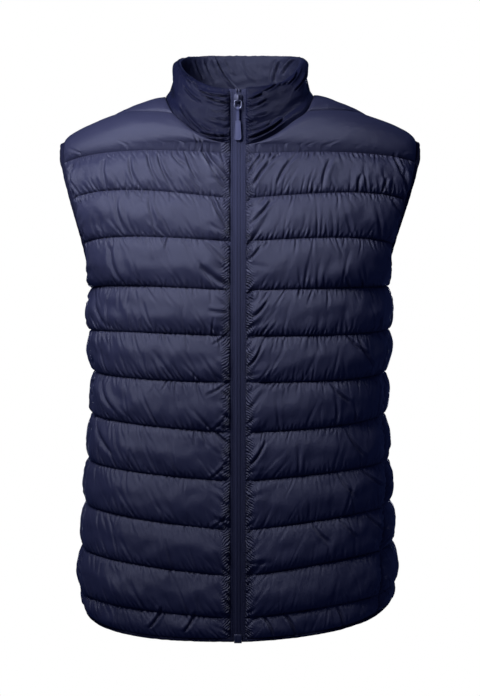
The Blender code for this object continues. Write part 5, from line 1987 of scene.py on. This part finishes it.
# ---- folds seen in the photo: start, end, width, depth ----------------------
RIGHT_CREASES = [Crease(*fold) for fold in (
    (194, 134, 227, 184, 3, 2.7), (200, 138, 229, 196, 3, 2.5), (210, 192, 230, 232, 3, 3),
    (148, 153, 160, 187, 4, 2), (158, 153, 171, 185, 3.5, 2.2), (172, 155, 188, 170, 3.5, 2),
    (186, 153, 201, 187, 4, 2.2), (131, 158, 137, 187, 4.5, 1.8), (106, 160, 109, 188, 5, 1.6),
    (75, 165, 74, 200, 5, 2.8), (79, 205, 80, 238, 4, 2), (205, 240, 229, 264, 4, 2.2),
    (200, 266, 229, 286, 8, 3), (208, 480, 230, 458, 3, 1.5), (211, 529, 230, 510, 3, 1.5),
    (210, 432, 230, 410, 3, 1.4), (208, 311, 230, 312, 5, 2), (150, 628, 163, 606, 4, 2),
    (184, 632, 196, 611, 4, 2), (118, 196, 126, 232, 5, 1.6), (150, 196, 158, 226, 5, 1.4),
    (112, 245, 122, 280, 6, 1.6), (98, 290, 108, 326, 5, 1.6), (104, 375, 118, 412, 5, 1.8),
    (212, 345, 230, 330, 3, 1.6), (206, 395, 230, 380, 3.5, 1.6), (100, 425, 116, 455, 5, 1.8))]
LEFT_CREASES = [Crease(*fold) for fold in (
    (280, 154, 252, 190, 3.5, 2.4), (265, 153, 247, 178, 3, 2.4), (296, 156, 276, 188, 4, 1.8),
    (360, 176, 357, 193, 4.5, 2), (385, 180, 381, 193, 4, 2), (330, 160, 322, 190, 5, 1.6),
    (393, 153, 403, 186, 4, 2.4), (400, 170, 409, 198, 4, 2.4), (391, 199, 401, 217, 4, 2.2),
    (397, 216, 399, 238, 3.5, 2), (345, 334, 364, 354, 3.2, 1.8), (356, 335, 370, 367, 3.2, 1.8),
    (329, 383, 347, 402, 3.5, 2.2), (344, 428, 362, 457, 3, 1.7), (336, 471, 353, 497, 3.2, 1.7),
    (359, 468, 380, 487, 3, 1.6), (337, 515, 354, 537, 3.2, 1.6), (364, 511, 382, 532, 3, 1.5),
    (311, 521, 327, 542, 4, 2), (274, 636, 262, 615, 4, 2.4), (296, 636, 284, 613, 4, 2.2),
    (342, 627, 336, 606, 4, 2), (246, 228, 272, 200, 4, 2.2), (246, 262, 262, 245, 3.5, 2.2),
    (247, 322, 268, 300, 4, 2), (247, 368, 262, 345, 3.5, 2.2), (247, 468, 266, 440, 4, 2.2))]
COLLAR_CREASES = [Crease(*fold) for fold in (
    (199, 91, 231, 97, 2.4, 3), (206, 97, 231, 104, 2.4, 3), (199, 133, 230, 136, 2.6, 3),
    (248, 139, 284, 119, 3.2, 3.4), (246, 132, 272, 123, 2.4, 2.4), (181, 106, 199, 131, 3, 2.2),
    (199, 124, 211, 133, 2.6, 2), (222, 129, 230, 124, 2, 1.8), (246, 100, 262, 94, 2.4, 2.4),
    (247, 108, 266, 100, 2.6, 1.8), (183, 72, 200, 81, 2.4, 2.2), (186, 88, 202, 103, 3, 1.6),
    (275, 84, 292, 74, 2.6, 2.2), (283, 140, 305, 118, 3, 2.4), (212, 112, 230, 111, 2, 1.4),
    (208, 118, 230, 119, 2, 1.4), (247, 118, 268, 112, 2, 1.6),
    (181, 64, 193, 84, 1.8, 1.8), (189, 70, 201, 90, 1.8, 1.4), (276, 88, 289, 68, 1.8, 1.6),
    (286, 86, 300, 64, 1.8, 1.8), (293, 92, 304, 74, 2, 1.4), (262, 92, 280, 80, 1.8, 1.4))]
LINING_CREASES = [Crease(*fold) for fold in (
    (213, 58, 235, 90, 3, 3.6), (222, 60, 236, 76, 2.4, 1.4), (200, 60, 214, 84, 3.4, 1.4),
    (281, 60, 274, 82, 3, 3), (297, 58, 284, 74, 3, 2.6), (190, 62, 200, 80, 3, 2.2),
    (240, 62, 256, 82, 5, 0.9))]


# ---- stage, in metres -------------------------------------------------------
FRAME_HEIGHT = 0.870
SENSOR = 36.0
FLOOR_RADIUS = 2.4
FLOOR_HEIGHT = -1.15
LAMP_COLOUR = (0.74, 0.78, 1.0)


@dataclass(frozen=True)
class Lamp:
    """A square area light that points at a place on the vest."""

    name: str
    place: tuple[float, float, float]
    aim: tuple[float, float, float]
    power: float
    size: float

    def build(self) -> Piece:
        """Make the light, unseen by the camera."""
        light = bpy.data.lights.new(self.name, "AREA")
        light.shape = "RECTANGLE"
        light.size = light.size_y = self.size
        light.energy = self.power
        light.color = LAMP_COLOUR
        lamp = bpy.data.objects.new(self.name, light)
        lamp.location = self.place
        lamp.visible_camera = False
        lamp.rotation_euler = (Vector(self.aim) - Vector(self.place)).to_track_quat("-Z", "Y").to_euler()
        bpy.context.scene.collection.objects.link(lamp)
        return lamp


LAMPS = (Lamp("key", (-0.33, -0.54, 0.27), (0, -0.1, -0.25), 8.2, 0.35),
         Lamp("rear_left", (0.3, 1.7, -0.25), (0, 0, -0.3), 12.0, 0.6),
         Lamp("rear_right", (-0.3, 1.7, -0.4), (0, 0, -0.3), 8.0, 0.6))


def stage() -> None:
    """Camera of the photo's frame, studio lights and a white surround."""
    scene = bpy.context.scene
    data = bpy.data.cameras.new("photo_camera")
    data.sensor_fit = "VERTICAL"
    data.sensor_height = SENSOR
    data.lens = SENSOR * CAMERA_AWAY * MM / FRAME_HEIGHT
    camera = bpy.data.objects.new("photo_camera", data)
    camera.location = (0.0025, -CAMERA_AWAY * MM, CAMERA_HEIGHT * MM)
    camera.rotation_euler = (math.pi / 2, 0, 0)
    scene.collection.objects.link(camera)
    scene.camera = camera
    world = bpy.data.worlds.new("studio")
    world.use_nodes = True
    work, nodes = Wiring(world.node_tree), world.node_tree.nodes
    dim = nodes["Background"]
    work.feed(dim, {"Color": (0.20, 0.29, 1.0, 1), "Strength": 0.13})
    white = work.node("Background", {"Color": (1, 1, 1, 1), "Strength": 1.0})
    seen = work.node("LightPath", {})["Is Camera Ray"]
    surround = work.node("MixShader", {0: seen, 1: dim.outputs[0], 2: white[0]})
    work.feed(nodes["World Output"], {"Surface": surround[0]})
    scene.world = world
    for lamp in LAMPS:
        lamp.build()
    scene.view_settings.view_transform = "Standard"
    floor()


def floor() -> None:
    """Plain pale floor under the vest, below the photo's frame."""
    work = bmesh.new()
    bmesh.ops.create_circle(work, cap_ends=True, segments=96, radius=FLOOR_RADIUS)
    mesh = bpy.data.meshes.new("studio_floor")
    work.to_mesh(mesh)
    work.free()
    ground = bpy.data.objects.new("studio_floor", mesh)
    ground.location.z = FLOOR_HEIGHT
    paint = bpy.data.materials.new("studio_floor")
    paint.use_nodes = True
    Wiring(paint.node_tree).feed(paint.node_tree.nodes["Principled BSDF"], {
        "Base Color": (0.85, 0.83, 0.78, 1), "Roughness": 0.9,
        "Emission Color": (0.62, 0.62, 0.60, 1), "Emission Strength": 1.0})
    mesh.materials.append(paint)
    ground.visible_diffuse = ground.visible_glossy = False
    bpy.context.scene.collection.objects.link(ground)


def main() -> None:
    """Build the vest's cloth, zip and stage, and report each piece."""
    logging.basicConfig(level=logging.INFO, format="%(message)s")
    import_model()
    stage()
    right = FrontPanel("front_panel_right_cloth", columns=268, side=Side.RIGHT, leans=(0.6, 0.3),
                       creases=RIGHT_CREASES, calm_low=0.5)
    left = FrontPanel("front_panel_left_cloth", columns=268, side=Side.LEFT, leans=(0.7, -0.3),
                      creases=LEFT_CREASES, calm_low=0.32)
    back = BackPanel("back_panel_cloth", columns=296)
    yoke = ShoulderYoke()
    for sewn in (right, left, back, yoke, Collar(outer_creases=COLLAR_CREASES, lining_creases=LINING_CREASES)):
        sewn.build()
    quilt_thread = Stitches("sewing_thread")
    tape_thread = Stitches("zip_tape_thread", pitch=2.8, length=1.9, radius=0.42)
    for front in (right, left):
        name = "armhole_binding_" + front.side.name.lower()
        Binding(name, BINDING_WIDTH, BINDING_THICK, 0.6, closed=True).build(*armhole_path(front, back, yoke))
        tape = ZipTape(front.side)
        tape.build()
        for row in tape.sewn:
            tape_thread.add(row, np.broadcast_to(np.array([0.0, -1.0, 0.0]), row.shape))
    Binding("hem_binding", HEM_BINDING, BINDING_THICK, 0.5, closed=False).build(*hem_path(right, back, left))
    ZipHardware().build()
    for panel in (right, left, back):
        for line in range(1, CHEST_RING + (0 if panel is back else 1)):
            row = line * panel.rows
            quilt_thread.add(panel.grid[row, 3:-3], panel.normals[row, 3:-3])
    quilt_thread.build()
    tape_thread.build()


if __name__ == "__main__":
    main()
